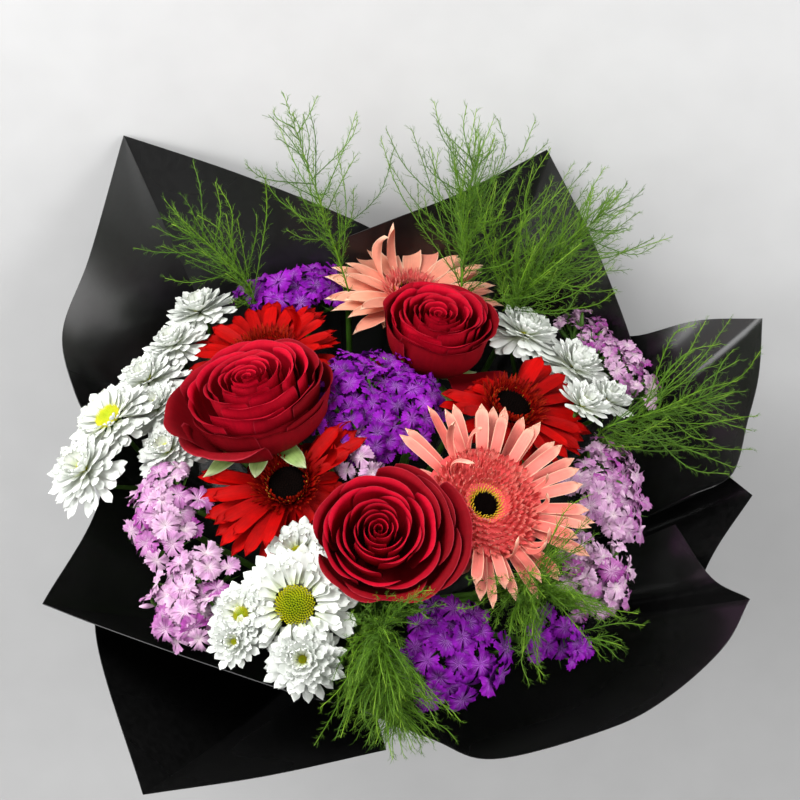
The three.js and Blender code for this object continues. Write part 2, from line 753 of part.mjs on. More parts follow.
// A floret with five broad petals on a slim tube.
function floret(share, extra, frame) {
  const { notch, throat, tube: length, lobes } = FLORET;
  const size = FLORET.size * share + extra;
  const points = [vec(0, 0, -0.8), vec(0, 0, -length)];
  const faces = [];
  for (const i of span(lobes)) {
    const angle = (2 * Math.PI * i) / lobes;
    const halfLobe = (0.4 * 2 * Math.PI) / lobes;
    points.push(polar(throat + extra, angle - Math.PI / lobes, -2.2 - extra));
    points.push(polar(notch, angle - Math.PI / lobes, 0));
    points.push(polar(size, angle - halfLobe, 0.8 + extra), polar(size, angle + halfLobe, 0.8 + extra));
  }
  for (const i of span(lobes)) {
    const at = 2 + 4 * i;
    const next = 2 + 4 * ((i + 1) % lobes);
    faces.push([0, at + 1, at + 2], [0, at + 2, at + 3], [0, at + 3, next + 1]);
    faces.push([at + 2, at + 1, at], [at + 3, at + 2, at], [at + 3, at, next], [next + 1, at + 3, next]);
    faces.push([at, 1, next]);
  }
  return closed(points, faces, frame);
}

const coreDepth = (wide) => 9 + 0.26 * wide; // of the green middle of a head, below its face

function pinkHead({ wide, deep, florets, frame, name }) {
  const core = new THREE.Matrix4().makeTranslation(0, 0, -coreDepth(wide));
  core.scale(vec(wide * 0.62, deep * 0.62, 9)).premultiply(frame);
  const heart = solidOf(new THREE.IcosahedronGeometry(1, 0), core);
  const blooms = [];
  for (const i of span(florets)) {
    const share = Math.sqrt((i + 0.4) / florets);
    const around = i * 137.5 * DEG;
    const [x, y] = [0.86 * wide * share * Math.cos(around), 0.86 * deep * share * Math.sin(around)];
    const outward = vec(x / wide, y / deep, 1.15).normalize();
    const local = new THREE.Matrix4().makeRotationFromQuaternion(
      new THREE.Quaternion().setFromUnitVectors(vec(0, 0, 1), outward),
    );
    local.multiply(new THREE.Matrix4().makeRotationZ(i));
    local.setPosition(vec(x, y, -12 * share * share + 1.6 * (i % 2)));
    local.premultiply(frame);
    const size = clearShare((part) => floret(part, GAP, local), name, blooms);
    if (size > 0) blooms.push(floret(size, 0, local));
  }
  return [heart, ...blooms];
}

// ---------- fern ----------

const FERN = { stem: 1.25, twig: 0.95, step: 12.5, needle: 15, twigs: 4 };

// A three-sided twig that ends in a point. Every stretch raises two of its faces into needles.
function needledTwig(path, radius, owner) {
  const curve = new THREE.CatmullRomCurve3(path);
  const steps = Math.max(2, Math.round(curve.getLength() / FERN.step));
  const { tangents, normals, binormals } = curve.computeFrenetFrames(steps);
  const points = [];
  for (const k of span(steps)) {
    const size = radius * (1 - (0.35 * k) / steps);
    for (const j of span(3)) {
      const { x, y } = polar(size, (2 * Math.PI * j) / 3);
      points.push(curve.getPointAt(k / steps).addScaledVector(normals[k], x).addScaledVector(binormals[k], y));
    }
  }
  const tip = points.push(curve.getPointAt(1)) - 1;
  const faces = [[0, 2, 1]];
  const needle = (face, k) => {
    const middle = face.reduce((sum, n) => sum.add(points[n]), vec()).divideScalar(3);
    const out = middle.clone().sub(curve.getPointAt((k + 0.5) / steps)).projectOnPlane(tangents[k]).normalize();
    const end = middle.clone().addScaledVector(out, 0.6 * FERN.needle).addScaledVector(tangents[k], 0.8 * FERN.needle);
    const grown = face.map((n) => middle.clone().lerp(points[n], 1.5));
    const probe = closed([...grown, end], [[0, 2, 1], [0, 1, 3], [1, 2, 3], [2, 0, 3]]);
    if (!isClear(probe, owner)) return [face];
    const apex = points.push(end) - 1;
    return [[face[0], face[1], apex], [face[1], face[2], apex], [face[2], face[0], apex]];
  };
  for (const k of span(steps)) {
    for (const j of span(3)) {
      const [a, b] = [3 * k + j, 3 * k + ((j + 1) % 3)];
      if (k === steps - 1) {
        faces.push([a, b, tip]);
        continue;
      }
      const bare = (k + j) % 3 === 1;
      faces.push(...(bare ? [[a, b, b + 3]] : needle([a, b, b + 3], k)), [a, b + 3, a + 3]);
    }
  }
  return closed(points, faces);
}

function fernFrond({ path, name }) {
  const curve = new THREE.CatmullRomCurve3(path);
  const pieces = [needledTwig(path, FERN.stem, name)];
  for (const i of span(FERN.twigs)) {
    const share = 0.1 + (0.7 * i) / (FERN.twigs - 1);
    const from = curve.getPointAt(share);
    const along = curve.getTangentAt(share);
    const away = vec(0, 0, 1).cross(along).normalize().applyAxisAngle(along, i * 137.5 * DEG);
    const length = 80 - 46 * share;
    const twig = (size) => {
      const at = (forward, out) =>
        from
          .clone()
          .addScaledVector(along, forward * length * size)
          .addScaledVector(away, out * length * size);
      return [from, at(0.4, 0.34), at(0.86, 0.5)];
    };
    const size = clearShare((part) => tube(twig(part), FERN.twig + GAP, 3), name);
    if (size > 0) pieces.push(needledTwig(twig(size), FERN.twig, name));
  }
  return pieces;
}

// ---------- putting it together ----------

for (const bloom of [...ROSES, ...GERBERAS, ...PINKS]) bloom.frame = bloomFrame(bloom);
for (const spray of DAISIES) {
  for (const head of spray.heads) Object.assign(head, { frame: bloomFrame(head), name: spray.name });
}

// Each plant: where its stem ends under its bloom, and which way it points there.
const plants = [];

function addPlant(plant, foot, axis, radius) {
  plants.push(Object.assign(plant, { foot, axis, radius }));
}

for (const rose of ROSES) {
  addPlant(rose, below(rose.frame, rose.depth + GAP + HIP.length - 2), axisOf(rose.frame), STEM_RADIUS.rose);
}
for (const flower of GERBERAS) {
  addPlant(flower, below(flower.frame, GAP - GERBERA.back), axisOf(flower.frame), STEM_RADIUS.gerbera);
}
for (const pink of PINKS) {
  addPlant(pink, below(pink.frame, coreDepth(pink.wide) + 3), axisOf(pink.frame), STEM_RADIUS.pink);
}

const FORK_DROP = 55;
for (const spray of DAISIES) {
  const ends = spray.heads.map((head) => below(head.frame, -DAISY.back));
  const middle = ends.reduce((sum, end) => sum.add(end), vec()).divideScalar(ends.length);
  const fork = vec(middle.x * 0.86, middle.y * 0.86, middle.z - FORK_DROP);
  addPlant(spray, fork, vec(middle.x / 300, middle.y / 300, 1).normalize(), STEM_RADIUS.daisy);
}
for (const fern of FERNS) {
  const start = seenAt(fern.across, fern.up).addScaledVector(TOWARDS, fern.towards);
  const axis = vec(...fern.tip).sub(start).normalize();
  addPlant(fern, start, vec(start.x / 300, start.y / 300, 1).normalize(), STEM_RADIUS.fern);
  fern.path = [start, start.clone().addScaledVector(vec(0, 0, 1).add(axis).normalize(), 25), vec(...fern.tip)];
}

function branch({ foot, axis }, head) {
  return tube([foot.clone().addScaledVector(axis, -3), below(head.frame, 22), below(head.frame, -DAISY.back - 2)], 1.4, 4);
}

const sites = matchSites(plants.map((plant) => plant.foot));
plants.forEach((plant, i) => {
  plant.stem = tube(stemPath(sites[i], plant.foot, plant.axis, i), plant.radius, STEM.sides);
  hold(plant.stem, plant.name);
  if (plant.path) hold(tube(plant.path, FERN.stem + GAP, 3), plant.name);
  if (plant.heads) plant.branches = plant.heads.map((head) => branch(plant, head));
  plant.branches?.forEach((stem) => hold(stem, plant.name));
});

const lowest = (solid) => {
  const { vertProperties, numProp } = solid.getMesh();
  let least = Infinity;
  for (let i = 0; i < vertProperties.length; i += numProp) {
    least = Math.min(least, vec(...vertProperties.slice(i, i + 3)).dot(UP));
  }
  return least;
};
const rest = -Math.min(...plants.map((plant) => lowest(plant.stem)));

for (const wrap of SHEETS) {
  const film = sheet(wrap, rest);
  hold(film, wrap.name);
  addPart(wrap.name, film, BLACK_FILM);
}
addPart("stem_tie", ring(TIE.inner, TIE.outer, TIE.half, TIE.sides), TWINE);
const ribbonInner = WRAP.neck + 2 * (WRAP.film + GAP) + WRAP.film / 2 + GAP + 0.15;
addPart("wrap_ribbon", ring(ribbonInner, ribbonInner + RIBBON.thick, RIBBON.half, RIBBON.sides), BLACK_RIBBON);

for (const rose of ROSES) {
  const bloom = roseBloom(rose);
  hold(bloom, rose.name);
  addPart(rose.name, bloom, ROSE_RED);
}
for (const flower of GERBERAS) {
  const rays = gerberaRays(flower);
  hold(rays, flower.name);
  addPart(`${flower.name}_rays`, rays, flower.colour);
  addPart(`${flower.name}_disc`, gerberaDisc(flower), DISC_DARK);
  addPart(`${flower.name}_stem`, flower.stem, GREEN);
}
for (const rose of ROSES) {
  const stem = joined([rose.stem, roseCalyx(rose)]);
  hold(stem, rose.name);
  addPart(`${rose.name}_stem`, stem, GREEN);
}
for (const spray of DAISIES) {
  const whole = joined([spray.stem, ...spray.branches, ...spray.heads.map(daisyHead)]);
  hold(whole, spray.name);
  addPart(spray.name, whole, WHITE);
}
for (const pink of PINKS) {
  const head = joined([pink.stem, ...pinkHead(pink)]);
  hold(head, pink.name);
  addPart(pink.name, head, pink.colour);
}
for (const fern of FERNS) {
  const frond = joined([fern.stem, ...fernFrond(fern)]);
  hold(frond, fern.name);
  addPart(fern.name, frond, FERN_GREEN);
}

// Laid on its back: the axis rises a little from the surface, with the flowers to the front.
const lying = new THREE.Matrix4().makeBasis(
  vec(-1, 0, 0),
  vec(0, -Math.sin(RISE), -Math.cos(RISE)),
  vec(0, -Math.cos(RISE), Math.sin(RISE)),
);
bouquet.setRotationFromMatrix(lying);
bouquet.position.z = rest;
bouquet.updateMatrixWorld(true);
const middle = new THREE.Box3().setFromObject(bouquet, true).getCenter(vec());
bouquet.position.x -= middle.x;
bouquet.position.y -= middle.y;

export default bouquet;
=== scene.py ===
"""A hand-tied bouquet of mixed flowers in a black film wrapper, lying on its back.

Shapes are made in the bouquet's own frame, in millimetres: X across, Y towards its back and
Z along its axis, from the tie at the origin to the flowers. Blooms are placed as they are seen
along one line of sight, "across" and "up", on the dome that the flowers form together.
"""
import math
from types import SimpleNamespace

import bpy
import numpy as np
from mathutils import Matrix, Vector


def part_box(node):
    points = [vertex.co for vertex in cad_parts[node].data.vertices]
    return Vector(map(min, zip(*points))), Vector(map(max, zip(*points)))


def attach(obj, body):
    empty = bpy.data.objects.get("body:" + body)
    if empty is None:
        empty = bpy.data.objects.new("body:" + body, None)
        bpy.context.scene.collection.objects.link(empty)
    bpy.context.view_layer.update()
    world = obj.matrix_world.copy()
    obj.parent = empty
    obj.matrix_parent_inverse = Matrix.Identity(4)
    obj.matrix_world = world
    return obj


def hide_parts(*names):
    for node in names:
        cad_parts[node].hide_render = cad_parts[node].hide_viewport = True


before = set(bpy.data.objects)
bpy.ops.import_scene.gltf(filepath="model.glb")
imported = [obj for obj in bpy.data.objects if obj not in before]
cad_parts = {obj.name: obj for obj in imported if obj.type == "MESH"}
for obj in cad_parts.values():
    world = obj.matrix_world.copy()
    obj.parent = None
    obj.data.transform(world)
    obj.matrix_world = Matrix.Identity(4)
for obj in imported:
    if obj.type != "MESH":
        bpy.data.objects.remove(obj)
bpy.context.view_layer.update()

DEG = math.pi / 180
TURN = 2 * math.pi
GOLDEN = 137.508 * DEG
chance = np.random.default_rng(7)
vary, stray = chance.uniform, chance.normal

# ---------- the frame and the dome: the same values as in the part's source ----------

SIGHT = 29 * DEG  # between the bouquet's axis and the line of sight
RISE = 34 * DEG  # of the axis above the surface
DOME_CENTRE = 215
DOME_CROWN = 48
DOME_FALL = 80
DOME_RADIUS = 195
DOME_BACKWARD = -0.11
TOWARDS = np.array([0, -math.sin(SIGHT), math.cos(SIGHT)])
IMAGE_UP = np.array([0, math.cos(SIGHT), math.sin(SIGHT)])

LYING = np.array([
    [-1, 0, 0],
    [0, -math.sin(RISE), -math.cos(RISE)],
    [0, -math.cos(RISE), math.sin(RISE)],
])
tie_low, tie_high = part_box("stem_tie")
TIE_CENTRE = (np.array(tie_low) + np.array(tie_high)) / 2


def to_world(points):
    return np.asarray(points) @ LYING.T * 0.001 + TIE_CENTRE


def dome_height(x, y):
    return DOME_CENTRE + DOME_CROWN - DOME_FALL * (x * x + y * y) / DOME_RADIUS**2 + DOME_BACKWARD * y


def dome_slope(x, y):
    k = 2 * DOME_FALL / DOME_RADIUS**2
    return np.array([k * x, k * y - DOME_BACKWARD, 1.0])


def seen_at(across, up):
    """The point of the dome that is seen at this place in the picture, found by halving."""
    near, far = -1.4 * DOME_RADIUS, 1.4 * DOME_RADIUS
    for _ in range(40):
        y = (near + far) / 2
        seen = (dome_height(across, y) - DOME_CENTRE) * math.sin(SIGHT) + y * math.cos(SIGHT)
        if seen < up:
            near = y
        else:
            far = y
    return np.array([across, near, dome_height(across, near)])


def unit(v):
    """The vector, or each row of them, made one long."""
    v = np.asarray(v, float)
    return v / (np.linalg.norm(v, axis=1)[:, None] if v.ndim > 1 else np.linalg.norm(v))


def facing(axis, turn=0.0):
    """A rotation that takes Z to the axis, after a turn about Z."""
    tilt = Vector((0, 0, 1)).rotation_difference(Vector(axis)).to_matrix()
    return np.array(tilt) @ np.array(Matrix.Rotation(turn, 3, Vector((0, 0, 1))))


class Place:
    """Where a bloom sits: its face's middle, and its axis along the rotation's third column."""

    def __init__(self, origin, rotation):
        self.origin = np.asarray(origin, float)
        self.rotation = rotation

    def out(self, points):
        return np.asarray(points) @ self.rotation.T + self.origin

    def below(self, depth):
        return self.origin - depth * self.rotation[:, 2]


def bloom_place(across, up, towards=0, lean=1, tip=(0, 0), turn=0, **_):
    point = seen_at(across, up)
    slope = dome_slope(point[0], point[1])
    axis = unit([slope[0] * lean + tip[0], slope[1] * lean + tip[1], 1])
    return Place(point + TOWARDS * towards, facing(axis, turn * DEG))


def table(columns, rows, **defaults):
    """An item for each row, with the columns' names. A short row has the default for what it lacks."""
    return [SimpleNamespace(**defaults | dict(zip(columns.split(), row))) for row in rows]


# ---------- flowers and ferns: where they are seen, and their sizes ----------

# A whorl of inner petals has its reach, count, height and drop; sepals have their angles.
ROSES = table("name across up towards size depth whorl count crown drop sepal raised sepals turn lean tip", [
    ("rose_left", -67, 61, 34, 50, 54, 32, 25, 3, 7, 52, 14, (268, 302, 232, 60, 140), 40, 1, (0, 0.15)),
    ("rose_upper", 52, 101, 24, 37, 48, 26, 22, 2, 4, 30, 0, (10, 82, 154, 226, 298), 10, 0.7),
    ("rose_front", 15, -31, 32, 44, 46, 27, 23, 2, 8, 30, 0, (75, 147, 219, 291, 3), 75, 0.8),
])

GERBERAS = table("name look across up towards size clear tip", [
    ("coral_gerbera_front", "coral", 79, -18, 8, 58, 0.8),
    ("red_gerbera_right", "red", 97, 42, -8, 52, 0.9),
    ("red_gerbera_front", "red", -42, -6, -18, 56, 0.9),
    ("red_gerbera_back", "red", -58, 75, -24, 50, 1),
    ("coral_gerbera_back", "peach", 34, 114, -6, 54, 1.05, (0, -0.3)),
])

DAISY_HEADS = {
    "daisies_left_top": [(-103, 107, 4, 22), (-118, 85, 8, 19), (-134, 62, 0, 23)],
    "daisies_left": [(-157, 37, 21, 26, 0.27), (-172, 5, 21, 26), (-119, 17, -10, 21), (-127, 44, -2, 19)],
    "daisies_front": [(-37, -78, 2, 34, 0.3), (-35, -49, -8, 22, 0.25), (-70, -84, 4, 20, 0.2),
                      (-74, -101, 4, 15, 0.1, True), (-32, -111, 4, 22)],
    "daisies_right": [(108, 92, 6, 24), (140, 70, 4, 25), (143, 45, 22, 16, 0.1, True),
                      (160, 48, 16, 15, 0.1, True)],
}
DAISIES = {name: table("across up towards size eye half", heads, eye=0.1, half=False)
           for name, heads in DAISY_HEADS.items()}

PINKS = table("name look across up wide deep floret towards turn", [
    ("purple_pinks_middle", "purple", 12, 52, 43, 46, 8, -4),
    ("purple_pinks_back", "purple", -37, 126, 42, 24, 8.5, 4),
    ("purple_pinks_front", "purple", 62, -107, 34, 34, 10.5, 4),
    ("purple_pinks_low_right", "purple", 130, -99, 24, 14, 8),
    ("lilac_pinks_left", "lilac", -124, -18, 27, 34, 9.5, 4),
    ("lilac_pinks_front_left", "lilac", -106, -74, 30, 33, 9.5, 2),
    ("lilac_pinks_middle", "lilac", 4, 16, 15, 18, 7.5, -10),
    ("lilac_pinks_right", "lilac", 164, -6, 29, 36, 8.5, 4),
    ("lilac_pinks_low_right", "lilac", 154, -60, 26, 28, 8, 2),
    ("lilac_pinks_right_top", "lilac", 168, 83, 16, 44, 6, 44, 38),
])

FERNS = table("name across up towards tip twigs reach bushy", [
    ("fern_back_left", -66, 110, -16, (-115, 170, 248), 44, 66),
    ("fern_back_middle", -6, 112, -16, (-45, 198, 346), 60, 66),
    ("fern_back_right", 66, 108, 0, (75, 195, 307), 140, 78),
    ("fern_back_far_right", 98, 100, -2, (165, 165, 278), 120, 74),
    ("fern_right", 150, 20, -12, (235, 40, 248), 64, 80),
    ("fern_front_right", 104, -66, -10, (150, -135, 232), 420, 46, True),
    ("fern_front", 12, -90, -8, (28, -186, 216), 300, 48, True),
], bushy=False)

STEM_RADIUS = dict(rose=2.3, gerbera=2.4, daisy=2.2, pink=2.1, fern=2.0)

# ---------- meshes ----------


def add_object(name, data):
    made = bpy.data.objects.new(name, data)
    bpy.context.collection.objects.link(made)
    return made


class Shape:
    """Points and faces, with how far across and along its petal a point is, and its petal's tone."""

    def __init__(self):
        self.points = []
        self.faces = []
        self.coords = []
        self.tones = []
        self.count = 0

    def add(self, points, coords, tone, *face_sets):
        self.points.append(np.asarray(points, float))
        self.coords.append(np.asarray(coords, float))
        self.tones.append(np.broadcast_to(tone, len(points)))
        for faces in face_sets:
            self.faces += (faces + self.count).tolist()
        self.count += len(points)

    def grid(self, points, place=None, tone=0.5, along=None):
        """Rows of points along the petal, from 0 to 1: in even steps, unless along says where."""
        rows, columns = np.shape(points)[:2]
        along = np.linspace(0, 1, rows) if along is None else along
        corner = (np.arange(rows - 1)[:, None] * columns + np.arange(columns - 1)).ravel()
        faces = np.column_stack([corner, corner + 1, corner + columns + 1, corner + columns])
        u, v = np.meshgrid(np.linspace(-1, 1, columns), along)
        coords = np.column_stack([u.ravel() * 0.5 + 0.5, v.ravel()])
        flat = np.asarray(points).reshape(-1, 3)
        self.add(place.out(flat) if place else flat, coords, tone, faces)

    def piece(self, name, material, nodes, slot, thick=0.0):
        mesh = bpy.data.meshes.new(name)
        mesh.from_pydata(to_world(np.vstack(self.points)).tolist(), [], self.faces)
        layer = mesh.uv_layers.new(name="petal")
        corner_points = np.empty(len(mesh.loops), dtype=np.int32)
        mesh.loops.foreach_get("vertex_index", corner_points)
        layer.data.foreach_set("uv", np.vstack(self.coords)[corner_points].astype(np.float32).ravel())
        tones = mesh.attributes.new("tone", "FLOAT", "POINT")
        tones.data.foreach_set("value", np.concatenate(self.tones).astype(np.float32))
        mesh.polygons.foreach_set("use_smooth", [True] * len(mesh.polygons))
        mesh.materials.append(material)
        piece = add_object(name, mesh)
        if thick:
            shell = piece.modifiers.new("thick", "SOLIDIFY")
            shell.thickness = thick * 0.001
            shell.offset = 0
            piece.modifiers.new("crisp", "EDGE_SPLIT").split_angle = 50 * DEG
        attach(piece, "root")
        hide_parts(*nodes)


def smooth_path(points, steps):
    """An even walk along a Catmull-Rom curve through the points."""
    points = np.asarray(points, float)
    ends = np.vstack([2 * points[0] - points[1], points, 2 * points[-1] - points[-2]])
    walk = []
    for k in range(steps + 1):
        place = k / steps * (len(points) - 1)
        i = min(int(place), len(points) - 2)
        t = place - i
        a, b, c, d = ends[i:i + 4]
        bend = 2 * b + (c - a) * t + (2 * a - 5 * b + 4 * c - d) * t**2 + (3 * b - a - 3 * c + d) * t**3
        walk.append(0.5 * bend)
    return np.array(walk)


def tube(shape, path, radii, sides=7, tone=0.5):
    """A round tube along a path, closed at both ends."""
    path = np.asarray(path)
    radii = np.broadcast_to(radii, len(path))
    tangents = unit(np.gradient(path, axis=0))
    side = unit(np.cross(tangents[0], [0.31, 0.9, 0.3]))
    angles = np.arange(sides) * TURN / sides
    rings = []
    for point, tangent, radius in zip(path, tangents, radii):
        side = unit(side - tangent * np.dot(side, tangent))
        other = np.cross(tangent, side)
        rings.append(point + radius * (np.outer(np.cos(angles), side) + np.outer(np.sin(angles), other)))
    tip = len(path) * sides
    top = tip - sides
    column = np.arange(sides)
    after = (column + 1) % sides
    row = np.arange(len(path) - 1)[:, None] * sides
    walls = np.stack([row + column, row + after, row + after + sides, row + column + sides], axis=-1)
    foot_cap = np.column_stack([np.full(sides, tip), after, column])
    end_cap = np.column_stack([np.full(sides, tip + 1), top + column, top + after])
    along = np.repeat(np.linspace(0, 1, len(path)), sides)
    around = np.tile(column / sides, len(path))
    coords = np.vstack([np.column_stack([around, along]), [[0.5, 0], [0.5, 1]]])
    shape.add(np.vstack(rings + [path[:1], path[-1:]]), coords, tone, walls.reshape(-1, 4), foot_cap, end_cap)


def needles(shape, roots, ends, radius, tone=0.5):
    """Thin three-sided needles from each root to its end."""
    roots, ends = np.asarray(roots, float), np.asarray(ends, float)
    along = unit(ends - roots)
    side = np.cross(along, [0.3, 0.5, 0.81])
    side *= radius / np.linalg.norm(side, axis=1)[:, None]
    other = np.cross(along, side)
    corners = [roots + side, roots - 0.5 * side + 0.87 * other, roots - 0.5 * side - 0.87 * other, ends]
    first = 4 * np.arange(len(roots))[:, None, None]
    faces = (first + np.array([[0, 1, 3], [1, 2, 3], [2, 0, 3]])).reshape(-1, 3)
    coords = np.tile([[0.5, 0], [0.5, 0], [0.5, 0], [0.5, 1]], (len(roots), 1))
    tones = np.repeat(np.broadcast_to(tone, len(roots)), 4)
    shape.add(np.stack(corners, axis=1).reshape(-1, 3), coords, tones, faces)


# ---------- materials ----------


class Paint:
    """A procedural material, made node by node."""

    def __init__(self, name, roughness):
        self.material = bpy.data.materials.new(name)
        self.material.use_nodes = True
        self.tree = self.material.node_tree
        self.shader = self.tree.nodes["Principled BSDF"]
        self.shader.inputs["Roughness"].default_value = roughness

    def feed(self, value, socket):
        """A link from another socket, or a value of the socket's own."""
        if isinstance(value, bpy.types.NodeSocket):
            self.tree.links.new(value, socket)
        elif socket.type == "RGBA":
            socket.default_value = (*value, 1)
        else:
            socket.default_value = value

    def node(self, kind, inputs=None, **settings):
        node = self.tree.nodes.new(f"ShaderNode{kind}")
        for name, value in settings.items():
            setattr(node, name, value)
        for name, value in (inputs or {}).items():
            self.feed(value, node.inputs[name])
        return node

    def petal_coord(self):
        """A socket for how far across (0 to 1) and along (0 to 1) the petal a point is."""
        return self.node("UVMap", uv_map="petal").outputs["UV"]

    def tone(self):
        return self.node("Attribute", attribute_name="tone").outputs["Fac"]

    def noise(self, scale, detail, stretch=None):
        """Noise in the object's own space, or, when stretched, across and along the petal."""
        if stretch:
            spot = self.node("Mapping", {"Vector": self.petal_coord(), "Scale": stretch}).outputs["Vector"]
        else:
            spot = self.node("TexCoord").outputs["Object"]
        return self.node("TexNoise", {"Vector": spot, "Scale": scale, "Detail": detail}).outputs["Fac"]

    def ramp(self, source, stops):
        ramp = self.node("ValToRGB", {"Fac": source})
        elements = ramp.color_ramp.elements
        while len(elements) < len(stops):
            elements.new(0.5)
        for element, (position, colour) in zip(elements, stops):
            element.position = position
            element.color = (*colour, 1)
        return ramp.outputs["Color"]

    def fade(self, source, low, high, start=0.0, end=1.0):
        """A grey that goes from start to end between two values of the source."""
        return self.ramp(source, [(low, grey(start)), (high, grey(end))])

    def mix(self, factor, first, second, mode="MIX"):
        inputs = {0: factor, 6: first, 7: second}
        return self.node("Mix", inputs, data_type="RGBA", blend_type=mode).outputs[2]

    def maths(self, operation, first, second=0.0):
        return self.node("Math", {0: first, 1: second}, operation=operation).outputs[0]

    def colour(self, source):
        self.feed(source, self.shader.inputs["Base Color"])

    def bump(self, height, distance, strength=0.5):
        bump = self.node("Bump", {"Strength": strength, "Distance": distance * 0.001, "Height": height})
        self.feed(bump.outputs["Normal"], self.shader.inputs["Normal"])


def grey(value):
    return (value, value, value)


def petal_paint(name, root, middle, rim, edge=None, edge_from=0.9, roughness=0.6, veins=20, vein_depth=0.15,
                shade=0.7, tones=None, lines=None, gloss=0.2):
    """A petal's colour runs from root to rim, changes at its very edge, and has fine veins."""
    paint = Paint(name, roughness)
    across, along, _ = paint.node("SeparateXYZ", {0: paint.petal_coord()}).outputs
    colour = paint.ramp(along, [(0.0, root), (0.5, middle), (1.0, rim)])
    streaks = paint.noise(1.0, 3.0, stretch=(veins, 1.6, 1))
    if tones:
        colour = paint.mix(paint.tone(), colour, tones)
    if lines:
        near_root = paint.fade(along, 0.25, 0.7, 1, 0)
        sharp = paint.fade(streaks, 0.5, 0.62)
        colour = paint.mix(paint.maths("MULTIPLY", near_root, sharp), colour, lines)
    if edge:
        off_middle = paint.maths("ABSOLUTE", paint.maths("SUBTRACT", across, 0.5))
        outermost = paint.maths("MAXIMUM", paint.maths("MULTIPLY", off_middle, 2.0), along)
        colour = paint.mix(paint.fade(outermost, edge_from, 1.0), colour, edge)
    # Darker, down to shade, where the vein streaks are low, which are the bump's grooves, and in random
    # mottles: painted shade in the grooves, and uneven tone.
    mottle = paint.noise(160.0, 3.0)
    groove_shade_and_mottle = paint.maths("MULTIPLY", paint.maths("ADD", streaks, mottle), 0.5)
    paint.colour(paint.mix(1.0, colour, paint.fade(groove_shade_and_mottle, 0.36, 0.6, shade), "MULTIPLY"))
    paint.bump(streaks, vein_depth)
    paint.shader.inputs["Specular IOR Level"].default_value = gloss
    return paint.material


def grained_paint(name, roughness, low, high, scale, detail, stretch=None, bump=None):
    """A grain between two close colours, with an optional bump of (depth in mm, strength)."""
    paint = Paint(name, roughness)
    grain = paint.noise(scale, detail, stretch)
    paint.colour(paint.ramp(grain, [(0.3, low), (0.7, high)]))
    if bump:
        paint.bump(grain, *bump)
    return paint


# The rose's nearly black root is painted shade deep in the bloom, and its thin pinkish edge is a painted
# sheen along the petals' rims.
ROSE_RED = petal_paint(
    "rose_petal", (0.06, 0.0, 0.002), (0.36, 0.0, 0.008), (0.56, 0.0, 0.02), edge=(0.34, 0.02, 0.035),
    edge_from=0.98, roughness=0.75, veins=30, vein_depth=0.12, shade=0.82, tones=(0.19, 0.0, 0.004),
    gloss=0.1)
GERBERA_RED = petal_paint(
    "gerbera_red", (0.1, 0.0, 0.0), (0.42, 0.0, 0.0), (0.53, 0.001, 0.0), edge=(0.36, 0.0, 0.0), veins=12,
    vein_depth=0.3, tones=(0.27, 0.0, 0.0), gloss=0.08)
GERBERA_INNER = petal_paint(
    "gerbera_inner", (0.05, 0.0, 0.0), (0.32, 0.0, 0.0), (0.5, 0.03, 0.004), veins=6, tones=(0.2, 0.0, 0.0),
    gloss=0.1)
CORAL = petal_paint(
    "gerbera_coral", (0.74, 0.12, 0.11), (0.76, 0.2, 0.16), (0.78, 0.32, 0.24), edge=(0.84, 0.48, 0.34),
    edge_from=0.82, veins=10, vein_depth=0.3, shade=0.82, tones=(0.72, 0.15, 0.12))
CORAL_INNER = petal_paint(
    "gerbera_coral_inner", (0.5, 0.04, 0.04), (0.76, 0.13, 0.11), (0.86, 0.36, 0.28), veins=6, shade=0.85,
    tones=(0.74, 0.09, 0.09))
PEACH = petal_paint(
    "gerbera_peach", (0.82, 0.14, 0.1), (0.88, 0.36, 0.23), (0.9, 0.54, 0.36), edge=(0.9, 0.6, 0.42),
    edge_from=0.85, veins=10, vein_depth=0.3, shade=0.85, tones=(0.84, 0.28, 0.2))
DAISY_WHITE = petal_paint(
    "daisy_petal", (0.5, 0.58, 0.26), (0.77, 0.79, 0.75), (0.82, 0.83, 0.8), veins=6, vein_depth=0.2,
    shade=0.9, tones=(0.72, 0.75, 0.7))
DAISY_EYE = petal_paint(
    "daisy_middle", (0.4, 0.38, 0.004), (0.56, 0.52, 0.006), (0.7, 0.64, 0.02), veins=6, shade=0.85,
    tones=(0.42, 0.52, 0.006))
DISC_DARK = petal_paint(
    "gerbera_disc", (0.0006, 0.0003, 0.0003), (0.002, 0.0008, 0.0006), (0.005, 0.0015, 0.001),
    roughness=0.9, veins=4, gloss=0.05)
POLLEN = petal_paint("gerbera_stamens", (0.2, 0.04, 0.0), (0.5, 0.18, 0.01), (0.66, 0.4, 0.03), veins=4)
POLLEN_YELLOW = petal_paint(
    "gerbera_yellow_stamens", (0.5, 0.3, 0.01), (0.76, 0.52, 0.02), (0.84, 0.68, 0.05), veins=4)
STEM_GREEN = petal_paint(
    "stem", (0.03, 0.08, 0.008), (0.05, 0.13, 0.015), (0.1, 0.22, 0.03), roughness=0.5, veins=9,
    tones=(0.05, 0.12, 0.01))
SEPAL_GREEN = petal_paint(
    "sepal", (0.1, 0.2, 0.03), (0.2, 0.34, 0.07), (0.32, 0.42, 0.16), edge=(0.55, 0.62, 0.36),
    edge_from=0.82, roughness=0.5, veins=14)
FERN_GREEN = petal_paint(
    "fern", (0.06, 0.14, 0.005), (0.14, 0.31, 0.012), (0.26, 0.43, 0.03), roughness=0.5, veins=3,
    tones=(0.04, 0.11, 0.008))
PURPLE = petal_paint(
    "pink_purple", (0.06, 0.001, 0.11), (0.15, 0.002, 0.26), (0.2, 0.006, 0.33), veins=22, vein_depth=0.3,
    shade=0.6, tones=(0.3, 0.012, 0.45), lines=(0.5, 0.24, 0.66), gloss=0.08)
